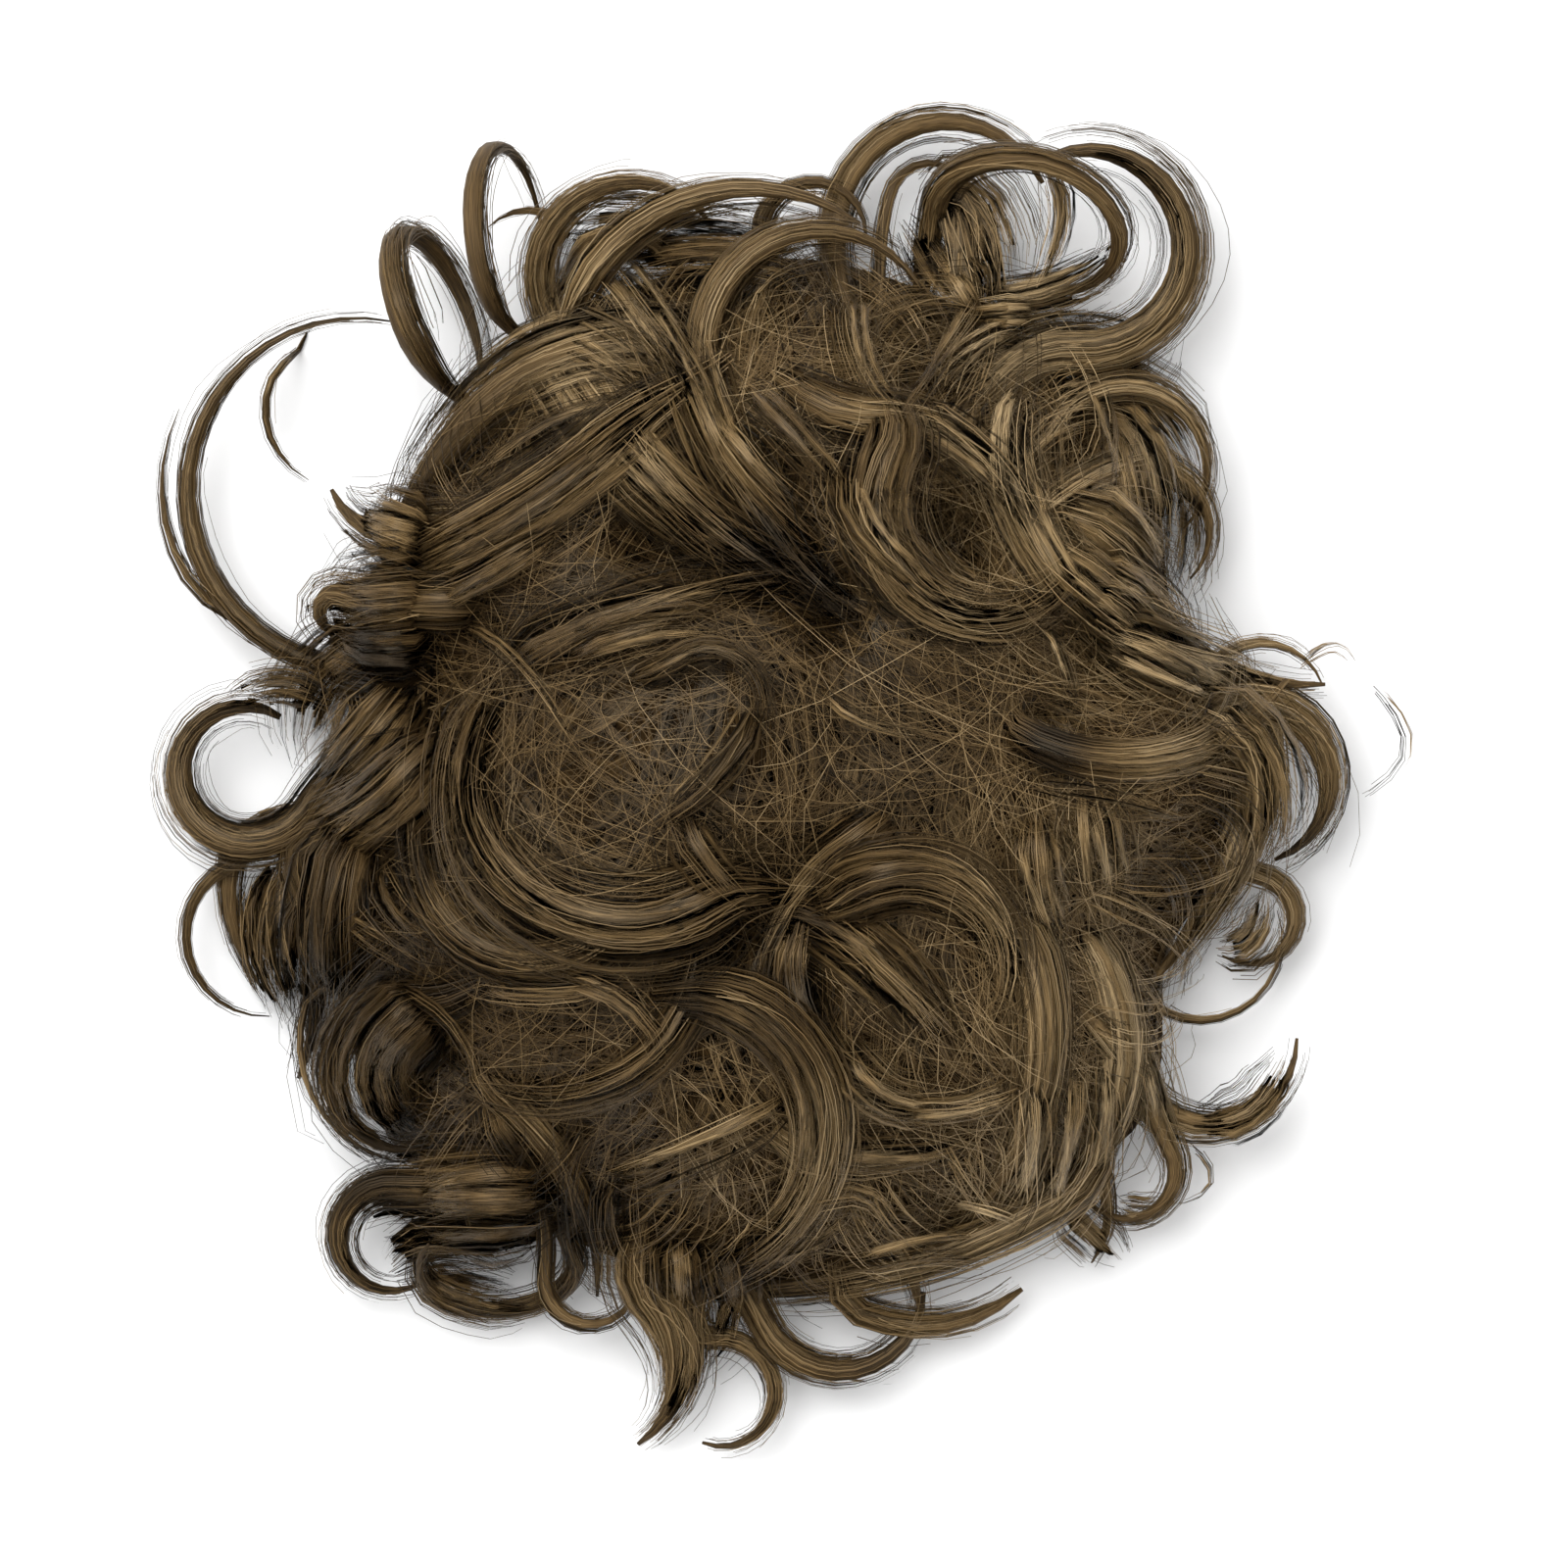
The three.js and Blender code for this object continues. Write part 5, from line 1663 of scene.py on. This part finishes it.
def weave_group():
    """Threads that cross at right angles: 1 on top of a thread and 0 between threads."""
    tree, given, result = new_group(
        "Weave", "ShaderNodeTree",
        [("Spacing", "NodeSocketFloat", THREAD_SPACING)], [("Thread", "NodeSocketFloat")],
    )
    place = add_node(tree, "ShaderNodeTexCoord").node.outputs["Object"]
    x, y = add_node(tree, "ShaderNodeSeparateXYZ", [place]).node.outputs[:2]
    pace = add_math(tree, "DIVIDE", math.tau, given.outputs["Spacing"])
    waves = [add_math(tree, "SINE", add_math(tree, "MULTIPLY", axis, pace)) for axis in (x, y)]
    thread = add_math(tree, "MULTIPLY_ADD", add_math(tree, "MULTIPLY", *waves), 0.5, 0.5)
    tree.links.new(thread, result.inputs["Thread"])
    return tree


WEAVE = weave_group()


def woven_material(name, colour, spacing, roughness):
    """Cloth whose threads show as lighter lines and as bump."""
    material, tree, shader = new_material(name, roughness, CLOTH_SHEEN)
    thread = place_group(tree, WEAVE, Spacing=spacing)["Thread"]
    shade = add_node(tree, "ShaderNodeValToRGB", [thread])
    dark = tuple(channel * BETWEEN_THREADS for channel in colour[:3])
    fill_ramp(shade, list(zip(THREAD_EDGES, (dark, colour[:3]))))
    tree.links.new(shade, shader.inputs["Base Color"])
    bump = add_node(tree, "ShaderNodeBump").node
    bump.inputs["Distance"].default_value = THREAD_DEPTH
    tree.links.new(thread, bump.inputs["Height"])
    tree.links.new(bump.outputs["Normal"], shader.inputs["Normal"])
    return material


def comb_material():
    material, _, shader = new_material("comb plastic", COMB_ROUGHNESS)
    shader.inputs["Base Color"].default_value = COMB_COLOUR
    return material


def dress(node, material):
    """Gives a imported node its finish."""
    thing = frame["nodes"][node]
    thing.data.materials.clear()
    thing.data.materials.append(material)


dress("base_cap", woven_material("base net", NET_COLOUR, THREAD_SPACING, NET_ROUGHNESS))
dress("edge_binding", woven_material("edge ribbon", RIBBON_COLOUR, THREAD_SPACING / 2, RIBBON_ROUGHNESS))
dress("comb", comb_material())
print("dressed: base_cap, edge_binding, comb")

# %% [markdown]
# The floor is a white studio sheet. The light is soft and comes from all round, with a wide lamp
# at the upper left that leaves a faint shadow at the lower right. A picture of a studio could light
# the scene too, but an even sky and one lamp are easier to balance. The camera looks straight down
# from so far up that high curls hardly lean outwards.

# %% Floor, light and camera
FLOOR_SIZE = 6.0
FLOOR_COLOUR = (0.93, 0.93, 0.93, 1.0)
FLOOR_ROUGHNESS = 0.9
FLOOR_SHEEN = 0.1
SKY_COLOUR = (1.0, 1.0, 1.0, 1.0)
SKY_STRENGTH = 0.83
KEY_PLACE = (-0.4, 0.5, 1.3)
KEY_SIZE = 1.0
KEY_POWER = 19.7
PHOTO_WIDTH = 268.2 * MM
FOCUS_HEIGHT = 15 * MM
CAMERA_HEIGHT = 1.4
SENSOR_WIDTH = 36.0


def add_floor():
    half = FLOOR_SIZE / 2
    mesh = bpy.data.meshes.new("floor")
    corners = [(-half, -half, 0), (half, -half, 0), (half, half, 0), (-half, half, 0)]
    mesh.from_pydata(corners, [], [(0, 1, 2, 3)])
    material, _, shader = new_material("white floor", FLOOR_ROUGHNESS, FLOOR_SHEEN)
    shader.inputs["Base Color"].default_value = FLOOR_COLOUR
    mesh.materials.append(material)
    floor = bpy.data.objects.new("floor", mesh)
    bpy.context.scene.collection.objects.link(floor)


def add_light():
    world = bpy.data.worlds.new("studio")
    world.use_nodes = True
    background = world.node_tree.nodes["Background"]
    background.inputs["Color"].default_value = SKY_COLOUR
    background.inputs["Strength"].default_value = SKY_STRENGTH
    bpy.context.scene.world = world
    lamp = bpy.data.lights.new("key", "AREA")
    lamp.size = KEY_SIZE
    lamp.energy = KEY_POWER
    key = bpy.data.objects.new("key", lamp)
    key.location = KEY_PLACE
    aim = -np.array(KEY_PLACE)
    key.rotation_euler = (
        math.acos(-aim[2] / np.linalg.norm(aim)), 0, math.atan2(aim[1], aim[0]) - math.pi / 2
    )
    bpy.context.scene.collection.objects.link(key)


def add_camera():
    lens = bpy.data.cameras.new("camera")
    lens.sensor_width = SENSOR_WIDTH
    lens.lens = SENSOR_WIDTH * (CAMERA_HEIGHT - FOCUS_HEIGHT) / PHOTO_WIDTH
    camera = bpy.data.objects.new("camera", lens)
    camera.location = (BASE_MIDDLE[0], BASE_MIDDLE[1], CAMERA_HEIGHT)
    bpy.context.scene.collection.objects.link(camera)
    bpy.context.scene.camera = camera


add_floor()
add_light()
add_camera()
bpy.context.scene.view_settings.view_transform = "Standard"
print("camera lens:", round(bpy.context.scene.camera.data.lens, 1), "mm")

# %% [markdown]
# Every hair piece rides on the wiglet's one body and stands in for the imported hair. The pieces
# could be joined into one, but small ones are easier to look through and to export.

# %% Hand over
for piece in hair_pieces:
    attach(piece, "root")
    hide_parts("hair")
print("hair triangles:", sum(map(triangles, hair_pieces)))
